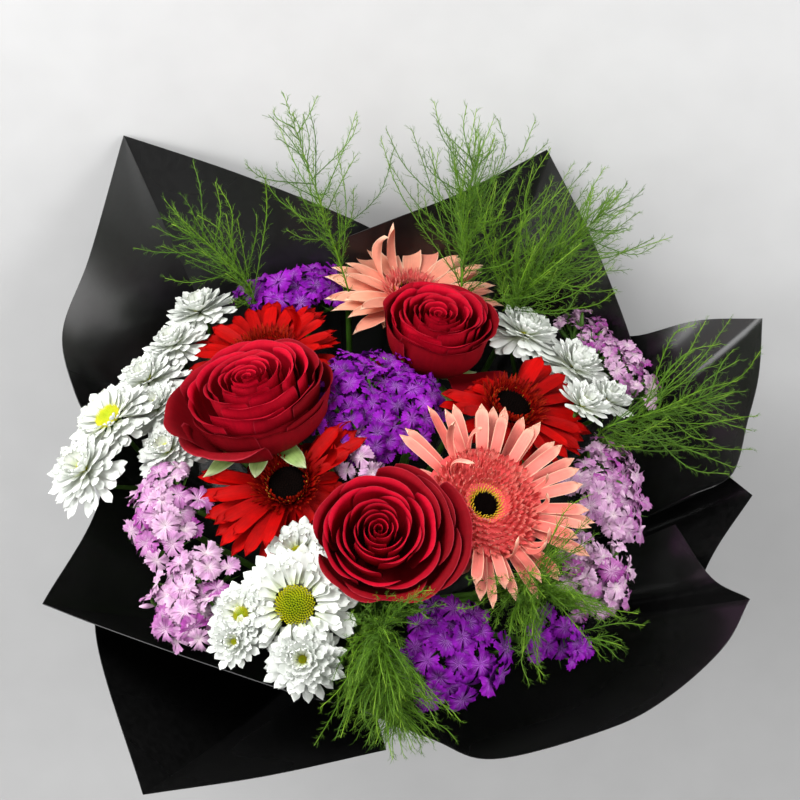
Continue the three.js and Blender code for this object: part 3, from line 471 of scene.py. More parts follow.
LILAC = petal_paint(
    "pink_lilac", (0.76, 0.6, 0.64), (0.58, 0.32, 0.52), (0.7, 0.48, 0.63), veins=22, vein_depth=0.3,
    shade=0.62, tones=(0.36, 0.06, 0.32), lines=(0.84, 0.72, 0.8), gloss=0.08)

# ---------- petals ----------

# Outlines of petals: the half width's share at shares of the length.
BLUNT = ((0, 0.34), (0.15, 0.66), (0.4, 0.92), (0.75, 1), (0.9, 0.9), (0.96, 0.7), (0.99, 0.42), (1, 0.2))
POINTED = ((0, 0.36), (0.2, 0.7), (0.5, 1), (0.75, 0.88), (0.9, 0.52), (0.97, 0.24), (1, 0.03))
SPOON = ((0, 0.26), (0.35, 0.55), (0.65, 0.9), (0.82, 1), (0.92, 0.92), (0.97, 0.72), (0.99, 0.5), (1, 0.26))
BEAD = ((0, 0.4), (0.5, 0.9), (0.8, 1), (1, 0.3))


def spun(out, side, angle):
    """X and Y of what is this far out, and this far aside, at an angle about the bloom's axis."""
    return out * math.cos(angle) - side * math.sin(angle), out * math.sin(angle) + side * math.cos(angle)


def strap(shape, place, angle, hub, base, length, half, lift, bend, outline=BLUNT, trough=0.2, twist=0.0,
          columns=5, rows=9, tone=0.5):
    """A long petal: it leaves the hub at its lift, bends evenly, and is hollow along its length."""
    along = 1 - (1 - np.linspace(0, 1, rows)) ** 1.6
    u, v = np.meshgrid(np.linspace(-1, 1, columns), along)
    at, widths = zip(*outline)
    side = u * half * np.interp(v, at, widths)
    slope = lift + bend * v * (1 - 0.07 * u * u)
    hollow = half * trough * (u * u - 0.3) * (0.4 + 0.6 * v)
    rise = side * np.sin(twist * v) + hollow * np.cos(twist * v)
    side = side * np.cos(twist * v) - hollow * np.sin(twist * v)
    out = hub + length * (np.sin(slope) - math.sin(lift)) / bend - rise * np.sin(slope)
    height = base + length * (math.cos(lift) - np.cos(slope)) / bend + rise * np.cos(slope)
    shape.grid(np.stack([*spun(out, side, angle), height], axis=-1), place, tone, along)


def polar(radius, angles, height):
    return np.column_stack([radius * np.cos(angles), radius * np.sin(angles), np.full(len(angles), height)])


def turned_cup(shape, place, profile, sides=13, tone=0.5):
    """A round form about the bloom's axis, from radii and heights."""
    shape.grid([polar(radius, np.linspace(0, TURN, sides), z) for radius, z in profile], place, tone)


def sown(radii, height):
    """Points at these radii, each a golden angle on from the last."""
    return polar(radii, np.arange(len(radii)) * GOLDEN, height)


def tuft(shape, place, radius, count, base, height, thick):
    """Short florets side by side over a round disc, lowest at its middle."""
    share = np.sqrt((np.arange(count) + 0.5) / count)
    foot = sown(radius * share, base)
    lengths = height * (0.75 + 0.35 * np.sin(math.pi * share)) + vary(-0.3, 0.3, count)
    end = foot * [1.05, 1.05, 1] + np.column_stack([np.zeros((count, 2)), lengths])
    needles(shape, place.out(foot), place.out(end), thick, tone=1 - share**1.5)


# ---------- roses ----------

# Each outer petal has its angle and half angle, the radius and height of its rim and belly, its
# lip's radius, how far the lip rolls, and how pointed it is.
OUTER_PETALS = dict(rose_left=[
    (158, 46, (35, -5), (35, -24), 3, 105, 0.3),
    (25, 46, (36, -5), (36, -25), 3, 100, 0.4),
    (265, 46, (35, -9), (35, -26), 3, 100, 0.4),
    (90, 46, (38, -5), (37, -25), 3, 100, 0.3),
    (205, 44, (38, -10), (37, -27), 3, 90, 0.3),
    (318, 44, (38, -11), (38, -27), 3, 100, 0.4),
    (140, 42, (41, -8), (39, -27), 3.5, 110, 0.3),
    (40, 44, (42, -9), (40, -27), 3.5, 100, 0.3),
    (280, 48, (41, -17), (42, -34), 2, 80, 0.3),
    (358, 44, (42, -11), (41, -28), 3, 90, 0.3),
    (235, 42, (41, -17), (41, -32), 3, 90, 0.3),
    (348, 48, (47, -17), (45, -33), 3, 60, 0.4),
    (308, 44, (44, -21), (44, -36), 2.5, 70, 0.5),
    (236, 48, (47, -24), (44, -37), 5, 150),
    (190, 40, (53, -13), (43, -29), 6, 45, 0.8),
], rose_upper=[
    (160, 46, (28, -3), (28, -18), 2.5, 100, 0.4),
    (20, 46, (28.5, -3), (28, -18), 2.5, 100, 0.4),
    (270, 48, (28.5, -4), (28, -19), 2, 95, 0.4),
    (90, 48, (30, -3), (29, -19), 2.5, 100, 0.2),
    (215, 46, (30, -5), (29, -20), 2, 90, 0.3),
    (325, 46, (31, -5), (30, -20), 2, 90, 0.4),
    (140, 42, (32, -4), (31, -22), 3, 110, 0.3),
    (50, 44, (32, -4), (31, -22), 3, 100, 0.4),
    (188, 44, (33, -6), (32, -24), 2, 90, 0.3),
    (275, 58, (32.5, -7), (33, -26), 1.5, 85),
    (355, 46, (34.5, -7), (33, -24), 3.5, 90, 0.8),
    (320, 26, (42, -32), (33, -38), 5, 160),
    (222, 30, (44, -32), (33, -40), 4, 120),
], rose_front=[
    (150, 46, (29.5, -7), (29, -21), 3, 100, 0.3),
    (5, 46, (32, -7), (31, -21), 3, 100, 0.5),
    (250, 46, (31, -9), (31, -22), 3, 100, 0.5),
    (90, 48, (32, -7), (31, -22), 3, 105, 0.4),
    (205, 44, (32, -10), (32, -23), 3, 105, 0.3),
    (310, 46, (35, -11), (34, -23), 3.5, 100, 0.6),
    (145, 44, (35, -9), (34, -24), 3.5, 110, 0.4),
    (48, 46, (38, -9), (36, -24), 3.5, 100, 0.5),
    (275, 44, (38, -14), (37, -26), 4, 110, 0.5),
    (15, 46, (42, -10), (39, -25), 3.5, 95, 0.4),
    (325, 44, (45, -13), (41, -26), 4, 100, 0.7),
    (236, 38, (39, -13), (37, -25), 4, 100, 0.8),
    (38, 42, (45, -13), (41, -26), 3.5, 90, 0.4),
    (358, 46, (52, -13), (44, -27), 4, 75, 0.7),
])


def rose_petal(shape, place, at, half, foot, belly, rim, lip, roll, point=0.0, spiral=0.05, tone=0.5):
    """A petal rises from its foot past its belly to its rim, and its lip rolls outwards there."""
    u, v = np.meshgrid(np.linspace(-1, 1, 19), np.linspace(0, 1, 19))
    body = 0.82  # of the length, below the lip
    reach = v * (1 - 0.13 * np.abs(u) ** 3) + point * 0.07 * v**4 * (1 - np.abs(u)) ** 1.5
    s = np.clip(reach / body, 0, 1)
    low = (foot[0] + 0.9 * (belly[0] - foot[0]), foot[1] + 0.25 * (belly[1] - foot[1]))
    high = (belly[0] + 0.25 * (rim[0] - belly[0]), belly[1] + 0.45 * (rim[1] - belly[1]))
    weights = ((1 - s) ** 3, 3 * s * (1 - s) ** 2, 3 * s * s * (1 - s), s**3)
    radius, height = [sum(w * p[k] for w, p in zip(weights, (foot, low, high, rim))) for k in (0, 1)]
    heading = math.atan2(rim[1] - high[1], rim[0] - high[0])
    turn = np.clip((reach - body) / (1 - body), 0, 1.2) * roll * DEG * (0.7 + 0.5 * np.abs(u))
    radius = radius + lip * (np.sin(turn) * math.cos(heading) + (1 - np.cos(turn)) * math.sin(heading))
    height = height + lip * (np.sin(turn) * math.sin(heading) - (1 - np.cos(turn)) * math.cos(heading))
    wave = vary(0, TURN, 3)
    ruffle = 0.022 * rim[0] * v**3
    radius = radius * (1 + spiral * u) + ruffle * np.sin(2.6 * u + wave[0])
    height = height + ruffle * (np.sin(3.7 * u + wave[1]) + 0.4 * np.sin(9 * u + wave[2]))
    widened = np.clip(s / 0.6, 0, 1)
    widened = widened * widened * (3 - 2 * widened)
    angle = at * DEG + u * half * DEG * (0.5 + 0.5 * widened) * (1 - 0.06 * v**6)
    shape.grid(np.stack([radius * np.cos(angle), radius * np.sin(angle), height], axis=-1), place, tone)


def rose(bloom):
    petals, green, sepals = Shape(), Shape(), Shape()
    name, depth, place = bloom.name, bloom.depth, bloom.place
    level = Place(place.origin, facing(place.rotation[:, 2]))
    for index in range(bloom.count):
        t = index / (bloom.count - 1)
        rim = (bloom.whorl * (0.06 + 0.94 * t) * vary(0.97, 1.03),
               bloom.crown - 3 * (1 - t) ** 4 - bloom.drop * t**1.5 + stray(0, 0.6))
        low = 10 + 5 * (1 - t) - depth
        belly = (rim[0] * (1.1 - 0.08 * t) + 0.4, low + 0.72 * (rim[1] - low))
        rose_petal(petals, level, index * 137.5 + stray(0, 9), 50 + 75 * (1 - t) ** 5,
                   (1.5 + 6 * t, low), belly, rim, 0.7 + 2.5 * t, 66 + 40 * t, point=0.35,
                   spiral=0.07 + 0.3 * (1 - t) ** 6, tone=vary(0.0, 0.5))
    for order, (at, half, rim, belly, *lip) in enumerate(OUTER_PETALS[name]):
        rose_petal(petals, level, at, half, (8 + 0.2 * order, 8 - depth), belly, rim, *lip,
                   tone=min(1, 0.12 * order))
    hip = -depth - 0.3
    turned_cup(green, level, [(0.5, hip - 9.5), (3, hip - 8.5), (4.6, hip - 6), (5.2, hip - 3.5),
                              (5, hip - 1.2), (7, hip + 4), (9, hip + 9)])
    for at in bloom.sepals:
        strap(sepals, level, at * DEG, 4.4, hip - 1.5 + bloom.raised,
              bloom.sepal * vary(0.9, 1.1), 6.6, vary(6, 12) * DEG, -0.25,
              outline=POINTED, trough=-0.4, twist=stray(0, 0.3), columns=7, rows=12)
    tube(green, bloom.stem_path, STEM_RADIUS["rose"], 8)
    petals.piece(f"{name}_petals", ROSE_RED, [name], "rose")
    green.piece(f"{name}_stalk", STEM_GREEN, [f"{name}_stem"], "stem")
    sepals.piece(f"{name}_sepals", SEPAL_GREEN, [f"{name}_stem"], "stem")


# ---------- gerberas ----------

GERBERA_LOOKS = {look.look: look for look in table(
    "look rays inner ring count half wild outline disc ring_width hub reach", [
        ("red", GERBERA_RED, GERBERA_INNER, POLLEN, 20, 0.085, 0.05, BLUNT, 12, 1.4, 12.5, 1.04),
        ("coral", CORAL, CORAL_INNER, POLLEN_YELLOW, 21, 0.066, 0.16, BLUNT, 7.4, 6.5, 24, 1.24),
        ("peach", PEACH, CORAL_INNER, POLLEN_YELLOW, 19, 0.11, 0.06, POINTED, 8.2, 3, 10.5, 1.1),
    ])}
# Share of the length, lift, base and bend of each ring of rays, the outermost first.
RAY_RINGS = [(1.0, 10, -3.6, -0.22), (0.96, 17, -2.2, -0.28), (0.84, 27, -1.0, -0.4)]
# Count, length, hub, half width, lift and base of each ring of short inner petals.
FINE_RINGS = [(50, 14, 10, 1.0, 20, -0.8), (48, 11, 9.6, 1.0, 34, 0), (46, 8.5, 9.4, 1.0, 50, 0.6),
              (42, 6.5, 9.2, 1.0, 66, 1)]
BEAD_RINGS = [(64, 10, 29, 1.9, 26, 0.2), (60, 9, 25.5, 1.9, 32, 1.0), (54, 8.5, 22, 1.8, 36, 1.7),
              (48, 8, 18.8, 1.7, 42, 2.2), (42, 7.5, 15.8, 1.6, 48, 2.5), (36, 7, 13, 1.5, 54, 2.7)]


def under_a_rose(place, angle, within=0.6):
    """Whether a ray at this angle runs under a rose beside its flower, within a cosine of its middle."""
    for bloom in ROSES:
        to_rose = (bloom.place.origin - place.origin) @ place.rotation
        off = math.atan2(to_rose[1], to_rose[0]) - angle
        if math.hypot(to_rose[0], to_rose[1]) < 90 and math.cos(off) > within:
            return True
    return False


def gerbera(flower):
    look, place, slot = GERBERA_LOOKS[flower.look], flower.place, f"gerbera_{flower.look}"
    size, name, disc_radius = flower.size, flower.name, look.disc
    petals, inner, disc, ring, stalk = [Shape() for _ in range(5)]
    for row, (share, ring_lift, base, ring_bend) in enumerate(RAY_RINGS):
        count = look.count - 3 * (row == 2)
        hub = look.hub - 0.5 * row
        for i in range(count):
            angle = (i + 0.5 * row) * TURN / count + stray(0, 0.04)
            under = under_a_rose(place, angle)
            wild = chance.random() < look.wild and not under
            length = (size * look.reach - hub) * share * vary(0.9, 1.05)
            lift, bend = ring_lift, ring_bend
            if under:
                lift, bend, length = -6.0, -0.4, 0.5 * length
            strap(petals, place, angle, hub, base, length,
                  size * look.half * (0.6 if wild else vary(0.9, 1.08)),
                  (lift + stray(0, 3)) * DEG, vary(1.1, 2.4) if wild else bend,
                  outline=look.outline, trough=0.8 if wild else 0.25,
                  twist=stray(0, 1.2 if wild else 0.22), columns=7, rows=14, tone=chance.random())
    rings, rings_round = FINE_RINGS, 9.4
    if flower.look == "coral":
        rings, rings_round = BEAD_RINGS, 7.4
        turned_cup(inner, place, [(38, -0.5), (30, 2.2), (20, 3.6), (12, 3.4), (9, 1)], sides=33, tone=1.0)
    for row, (count, length, hub, half, lift, base) in enumerate(rings):
        hub += disc_radius - rings_round
        for i in range(count):
            angle = (i + 0.4 * row) * TURN / count + stray(0, 0.02)
            if hub > 17 and under_a_rose(place, angle, 0.8):
                continue
            strap(inner, place, angle, hub, base, length * vary(0.9, 1.08), half,
                  (lift + stray(0, 6)) * DEG, 0.7, outline=BEAD, trough=0.7, columns=4, rows=5,
                  tone=chance.random())
    turned_cup(disc, place, [(disc_radius + 1, -1), (disc_radius, 1.8), (disc_radius * 0.6, 2.2), (0.2, 1.4)],
               sides=25)
    tuft(disc, place, disc_radius, 190, 1.2, 3.2, 0.85)
    count = round(24 * look.ring_width)
    foot = sown(disc_radius + look.ring_width * (np.arange(count) + 0.5) / count, 1.4)
    end = foot * [1.07, 1.07, 1] + np.column_stack([np.zeros((count, 2)), vary(2.6, 4.2, count)])
    needles(ring, place.out(foot), place.out(end), 0.75)
    tube(stalk, flower.stem_path, STEM_RADIUS["gerbera"], 8)
    turned_cup(stalk, place, [(2.4, -14), (5, -9.5), (8.5, -6.5), (10, -4.4)])
    petals.piece(f"{name}_petals", look.rays, [f"{name}_rays"], slot)
    inner.piece(f"{name}_inner_petals", look.inner, [f"{name}_rays"], slot)
    disc.piece(f"{name}_florets", DISC_DARK, [f"{name}_disc"], "gerbera_disc")
    ring.piece(f"{name}_stamens", look.ring, [f"{name}_disc"], "gerbera_disc")
    stalk.piece(f"{name}_stalk", STEM_GREEN, [f"{name}_stem"], "stem")


# ---------- daisies ----------

DAISY_FULL = 1.2
OPEN_LAYERS = np.linspace(0, 1, 7)  # from the outermost petals at 0 to the innermost at 1
HALF_OPEN_LAYERS = np.linspace(0.45, 1, 4)
HALF_OPEN_REACH = 1.4


def daisy(petals, eye, head):
    """Many layers of spoon-shaped petals, flat at the outside and curved inwards at the middle."""
    place, size, eye_share = head.place, head.size * DAISY_FULL, head.eye
    for t in HALF_OPEN_LAYERS if head.half else OPEN_LAYERS:
        count = round(18 - 7 * t)
        hub = size * eye_share * (1.25 - 0.25 * t)
        reach = (size - hub) * (1 - 0.62 * t * (1 - 0.6 * eye_share))
        if head.half:
            reach *= HALF_OPEN_REACH
        turn = vary(0, TURN)
        for i in range(count):
            angle = turn + i * TURN / count + stray(0, 0.07)
            base = -6.5 + 5.5 * t + 0.7 * (i % 2)
            strap(petals, place, angle, hub, base, reach * vary(0.88, 1.08),
                  vary(2.8, 3.5) * (size / 26) ** 0.4 * (1 - 0.15 * t),
                  (-6 + 64 * t * (1 - 1.7 * eye_share) + stray(0, 5)) * DEG,
                  -0.1 + 0.9 * t * t * (1 - 1.5 * eye_share) + stray(0, 0.12), outline=SPOON,
                  trough=-0.3 + 0.8 * t, twist=stray(0, 0.08), columns=7, rows=11,
                  tone=chance.random())
    tuft(eye, place, eye_share * size, round(700 * eye_share), -2.5, 5.0, 0.026 * size)


def daisy_spray(spray):
    name, petals, eye, green = spray.name, Shape(), Shape(), Shape()
    tube(green, spray.stem_path, STEM_RADIUS["daisy"], 8)
    for head in spray.heads:
        daisy(petals, eye, head)
        path = smooth_path([spray.foot, head.place.below(24), head.place.below(7)], 10)
        tube(green, path, np.linspace(1.6, 1.3, len(path)), 6)
        turned_cup(green, head.place, [(1.5, -11), (0.2 * head.size, -8.6), (0.3 * head.size, -6)])
    petals.piece(f"{name}_petals", DAISY_WHITE, [name], "daisy")
    eye.piece(f"{name}_middles", DAISY_EYE, [name], "daisy")
    green.piece(f"{name}_branches", STEM_GREEN, [name], "stem")


# ---------- sweet william ----------

PINK_PAINTS = dict(purple=PURPLE, lilac=LILAC)
PINK_FULL = 1.06
PINK_DOME = 11  # from a head's middle down to its rim


def floret(shape, place, radius, tone):
    """Five petals side by side, ruffled and toothed at their rims."""
    u, v = np.meshgrid(np.linspace(-1, 1, 11), np.linspace(0, 1, 6))
    cup = vary(0.0, 0.55)
    for i in range(5):
        teeth = (np.arange(11) % 2) * 0.13 + vary(0, 0.08, 11)
        angle = i * 72 * DEG + stray(0, 0.12)
        curl = cup * vary(0.4, 0.9) + vary(-0.1, 0.4)
        size = radius * vary(0.86, 1.08)
        reach = 0.2 + (size - 0.2) * v * (1 - 0.08 * u * u - teeth * v**4)
        side = u * (0.12 + 0.5 * v**1.4) * size
        ruffle = 0.1 * size * v * v * np.sin(5.0 * u + vary(0, 6.28))
        height = size * (cup * v - curl * v**3 + 0.1 * u * v) + ruffle
        shade = np.clip(tone + stray(0, 0.12), 0, 1)
        shape.grid(np.stack([*spun(reach, side, angle), height], axis=-1), place, shade)


def pink_head(head):
    place, look, name, radius = head.place, head.look, head.name, head.floret
    wide, deep = head.wide * PINK_FULL, head.deep * PINK_FULL
    flowers, green = Shape(), Shape()
    count = max(6, round(wide * deep * 2.5 / radius**2))
    for i in range(count):
        share = math.sqrt((i + 0.3) / count)
        around = i * GOLDEN
        x = (wide - 0.4 * radius) * share * math.cos(around) + stray(0, 2.2)
        y = (deep - 0.4 * radius) * share * math.sin(around) + stray(0, 2.2)
        outward = unit([x / wide + stray(0, 0.36), y / deep + stray(0, 0.36), 1.0])
        spot = np.array([x, y, -PINK_DOME * share**2 + vary(-6, 4)])
        local = Place(place.out([spot])[0], place.rotation @ facing(outward, i * 1.3))
        floret(flowers, local, radius * vary(0.8, 1.12), chance.random() ** 1.3)
        foot = place.out([[x * 0.5, y * 0.5, -20 - 3 * share]])[0]
        path = smooth_path([foot, local.below(8), local.below(0.5)], 4)
        tube(green, path, [1.0, 1.5, 1.6, 1.2, 0.8], 5)
        away = polar(1, vary(0, TURN, 3), 0.2)
        tips = local.below(5) + (away * 9) @ place.rotation.T
        needles(green, np.tile(local.below(12), (3, 1)), tips, 0.9, tone=0.2)
        if i % 3 == 0:
            aside = [vary(-1, 1), vary(-1, 1), vary(-0.2, 0.5)]
            bud = smooth_path([local.below(7), local.out([np.array(aside) * radius])[0]], 4)
            tube(flowers, bud, [0.6, 1.3, 1.9, 1.6, 0.4], 6, tone=0.0)
    tube(green, head.stem_path, STEM_RADIUS["pink"], 8)
    flowers.piece(f"{name}_florets", PINK_PAINTS[look], [name], f"pink_{look}")
    green.piece(f"{name}_stalks", STEM_GREEN, [name], "stem")


# ---------- fern ----------

# The sweet williams that the bushy ferns' twigs keep clear of; the others clear them all.
BESIDE_BUSHY = ("purple_pinks_front", "purple_pinks_low_right", "lilac_pinks_low_right")


class Twig:
    """A path with its length, which can be walked along."""

    def __init__(self, points, steps):
        self.path = smooth_path(points, steps)
        gaps = np.linalg.norm(np.diff(self.path, axis=0), axis=1)
        self.marks = np.concatenate([[0], np.cumsum(gaps)])
        self.length = self.marks[-1]

    def points(self, distances):
        return np.column_stack([np.interp(distances, self.marks, self.path[:, k]) for k in range(3)])

    def at(self, distances):
        """The points at these distances, and the twig's direction at each."""
        return self.points(distances), unit(self.points(distances + 1) - self.points(distances - 1))


def sides_of(along, angles):
    """Directions square to each of the given ones, at the given angles round them."""
    side = unit(np.cross(along, [0.21, 0.47, 0.86]))
    other = np.cross(along, side)
    return np.cos(angles)[:, None] * side + np.sin(angles)[:, None] * other


def feathered(shape, twig, thick, spacing, length, fine, tone):
    """A fine twig with side twiglets, each set with short needles that lean towards its tip."""
    tube(shape, twig.path, np.linspace(thick, 0.22, len(twig.path)), 4, tone)
    distances = np.arange(0.5 * spacing, twig.length, spacing)
    roots, along = twig.at(distances)
    out = sides_of(along, np.arange(len(distances)) * 2.4 + stray(0, 0.4, len(distances)))
    share = distances / twig.length
    lengths = length * (1 - 0.55 * share) * vary(0.6, 1.25, len(distances))
    ends = roots + lengths[:, None] * (0.86 * along + 0.5 * out)
    needles(shape, roots, ends, fine, tone)
    for step in np.linspace(0.25, 0.9, 4):
        knots = roots + (ends - roots) * step
        direction = (ends - roots) / lengths[:, None]
        lean = sides_of(direction, vary(0, TURN, len(distances)))
        size = 3.6 * (1.1 - 0.5 * step) * vary(0.7, 1.2, len(distances))
        needles(shape, knots, knots + size[:, None] * (0.8 * direction + 0.6 * lean), fine * 0.85, tone)


def hides_a_bloom(points, pinks):
    """Whether one of the points lies in front of a bloom, as seen along the line of sight."""
    blooms = [(bloom, 0.95 * bloom.size) for bloom in ROSES]
    blooms += [(flower, flower.clear * flower.size) for flower in GERBERAS]
    blooms += [(head, head.size) for heads in DAISIES.values() for head in heads]
    blooms += [(pink, 0.8 * pink.wide) for pink in pinks]
    for bloom, size in blooms:
        place = bloom.place
        local = (points - place.origin) @ place.rotation
        sight = TOWARDS @ place.rotation
        nearer = local[:, 2] / sight[2]
        foot = local[:, :2] - nearer[:, None] * sight[:2]
        if ((np.linalg.norm(foot, axis=1) < size) & (nearer > -8)).any():
            return True
    return False


def frond(fern, opening, crowded, pinks):
    """Twigs round a stem, of which those in front of a bloom are left out."""
    shape, stem, twigs = Shape(), Twig(fern.path, 16), fern.twigs
    tube(shape, fern.stem_path, STEM_RADIUS["fern"], 7, tone=1.0)
    feathered(shape, stem, 1.0, 3.2, 11, 0.28, 0.3)
    for i in range(twigs):
        share = 0.01 + 0.86 * (i / (twigs - 1)) ** crowded
        start, along = stem.at(np.array([share * stem.length]))
        away = sides_of(along, np.array([i * GOLDEN]))[0]
        start, along = start[0], along[0]
        size = fern.reach * (1 - 0.7 * share) * vary(0.55, 1.2)
        bend = stray(0, 0.08, 3) * size
        open_out = vary(*opening)
        middle = start + size * (0.45 * along + 0.7 * open_out * away) + bend
        end = start + size * (0.9 * along + open_out * away) + bend * 0.4
        if not hides_a_bloom(np.array([0.5 * (start + middle), middle, 0.5 * (middle + end), end]), pinks):
            feathered(shape, Twig([start, middle, end], 8), 0.36, 3.1, 10, 0.19, vary(0, 0.8))
    shape.piece(f"{fern.name}_needles", FERN_GREEN, [fern.name], "fern")


# ---------- stems ----------

STEM_PITCH = 4.9
STEM_CUT = -100
STEM_SPLAY = 0.4  # how far the cut ends open below the tie
STEM_WAIST = 14
STEM_BEND = 40
STEM_FAN = 105
STEM_FAN_SHARE = 0.42  # of the way out, at the height where the stems have fanned
CUP_DEPTH = 7.35  # from the foot of a rose, or a gerbera's face, to its stem's end
PINK_CUP_DEPTH = 12
PINK_CUP_SHARE = 0.26  # of a head's half width, on top of that
FORK_DEPTH = 55  # from a spray's heads to where its branches part
FORK_INWARD = 0.86
LEAN_HEIGHT = 300  # a spray or fern leans as if it grew from this far below


def tie_sites(count):
    """The sites nearest the middle of a honeycomb in which the stems touch at the tie."""
    sites = [((column + row / 2) * STEM_PITCH, row * STEM_PITCH * math.sqrt(3 / 4))
             for row in range(-4, 5) for column in range(-4, 5)]
    sites.sort(key=lambda s: (round(math.hypot(*s), 9), math.atan2(s[1], s[0]) % TURN))
    return [np.array(site) for site in sites[:count]]


def match_sites(feet):
    """Sites swapped in pairs until the ways to the blooms are shortest, so no two stems cross."""
    sites = tie_sites(len(feet))
    swapped = True
    while swapped:
        swapped = False
        for i in range(len(feet)):
            for j in range(i):
                gain = np.dot(feet[i][:2] - feet[j][:2], sites[j] - sites[i])
                if gain > 1e-6:
                    sites[i], sites[j] = sites[j], sites[i]
                    swapped = True
    return sites


def stem_path(site, foot, axis, index):
    cut = STEM_CUT + 4 * (index % 3)
    points = [
        (*site * (1 + STEM_SPLAY), cut),
        (*site * (1 + STEM_SPLAY * 0.35), cut / 2),
        (*site, -STEM_WAIST),
        (*site, STEM_WAIST),
        (*(site + (foot[:2] - site) * 0.05), STEM_BEND),
        (*(site + (foot[:2] - site) * STEM_FAN_SHARE), STEM_FAN),
        foot - 22 * axis,
        foot,
    ]
    return smooth_path(points, 42)


# ---------- everything in its place ----------

plants = []


def plant(entry, foot, axis):
    entry.foot = np.asarray(foot, float)
    entry.axis = unit(axis)
    plants.append(entry)


for bloom in ROSES + GERBERAS + PINKS:
    bloom.place = bloom_place(**vars(bloom))
for heads in DAISIES.values():
    for head in heads:
        head.place = bloom_place(**vars(head))

for bloom in ROSES:
    plant(bloom, bloom.place.below(bloom.depth + CUP_DEPTH), bloom.place.rotation[:, 2])
for flower in GERBERAS:
    plant(flower, flower.place.below(CUP_DEPTH), flower.place.rotation[:, 2])
for pink in PINKS:
    depth = PINK_CUP_DEPTH + PINK_CUP_SHARE * pink.wide
    plant(pink, pink.place.below(depth), pink.place.rotation[:, 2])
sprays = table("name heads", DAISIES.items())
for spray in sprays:
    middle = np.mean([head.place.below(10) for head in spray.heads], axis=0)
    fork = middle * [FORK_INWARD, FORK_INWARD, 1] - [0, 0, FORK_DEPTH]
    plant(spray, fork, [middle[0] / LEAN_HEIGHT, middle[1] / LEAN_HEIGHT, 1])
for fern in FERNS:
    start = seen_at(fern.across, fern.up) + TOWARDS * fern.towards
    tip = np.array(fern.tip, float)
    fern.path = [start, start + 25 * unit(np.array([0, 0, 1]) + unit(tip - start)), tip]
    plant(fern, start, [start[0] / LEAN_HEIGHT, start[1] / LEAN_HEIGHT, 1])

for index, (entry, site) in enumerate(zip(plants, match_sites([p.foot for p in plants]))):
    entry.stem_path = stem_path(site, entry.foot, entry.axis, index)

for bloom in ROSES:
    rose(bloom)
for flower in GERBERAS:
    gerbera(flower)
for spray in sprays:
    daisy_spray(spray)
for pink in PINKS:
    pink_head(pink)

beside_bushy = [pink for pink in PINKS if pink.name in BESIDE_BUSHY]
for fern in FERNS:
    if fern.bushy:
        frond(fern, (0.4, 1.5), 1.6, beside_bushy)
    else:
        frond(fern, (0.15, 1.1), 2.0, PINKS)

# ---------- wrapper ----------

WRAP_NECK = 18.3
WRAP_SKIRT = 6
WRAP_SKIRT_END = -38
WRAP_NECK_FOOT = -10
WRAP_NECK_TOP = 18
WRAP_FLARE = -0.3
WRAP_FILM = 0.8  # thick in the part's source
FILM_THICK = 0.5  # here
FILM_LIFT = 0.2  # off the surface
WRAP_STEP = 1.15  # between layers at the neck
WRAP_SPREAD = 0.026  # and how that grows outwards
UP = LYING[2]
FILM_REST = TIE_CENTRE[2] * 1000

# The layer and rim of each sheet. A rim is a chain of smooth runs: each starts at the sharp
# corner where the one before it ends.
SHEETS = {
    "wrap_back_right": (0, [
        [(177, 104, 170), (175, 120, 179), (151, 180, 201), (122, 228, 232)],
        [(70, 201, 226), (21, 181, 222), (-14, 170, 214)]]),
    "wrap_back_left": (1, [
        [(34, 168, 196), (2, 181, 214), (-72, 210, 226), (-148, 235, 236)],
        [(-168, 157, 216), (-184, 109, 204), (-176, 72, 192), (-163, 50, 184)]]),
    "wrap_front_left_inner": (0, [
        [(-160, 60, 196), (-162, -11, 196), (-194, -85, 204)],
        [(-159, -100, 204), (-87, -130, 208), (-16, -156, 212), (30, -154, 208)]]),
    "wrap_front_left_outer": (2, [
        [(-150, -25, 152), (-156, -84, 170), (-125, -196, 190)],
        [(-53, -186, 194), (18, -170, 196)]]),
    "wrap_front_right": (1, [
        [(2, -150, 199), (46, -171, 202), (83, -183, 200), (151, -165, 204), (188, -145, 207),
         (223, -112, 210), (239, -82, 213)],
        [(216, -64, 206), (196, -20, 190)]]),
    "wrap_right_corner": (2, [
        [(205, -50, 160), (218, -28, 180), (240, 1, 195)],
        [(214, 30, 185)]]),
    "wrap_right_curled": (1, [
        [(205, 0, 190), (231, 8, 204), (241, 39, 212), (249, 70, 220), (252, 106, 228)],
        [(213, 116, 207), (175, 122, 176), (150, 133, 166)]]),
}

film_paint = grained_paint("film", 0.26, grey(0.003), grey(0.006), 220.0, 2.0)
waves = film_paint.noise(6.0, 1.0)
film_paint.feed(film_paint.fade(waves, 0.3, 0.7, 0.2, 0.34), film_paint.shader.inputs["Roughness"])
film_paint.bump(waves, 5.0, 0.3)


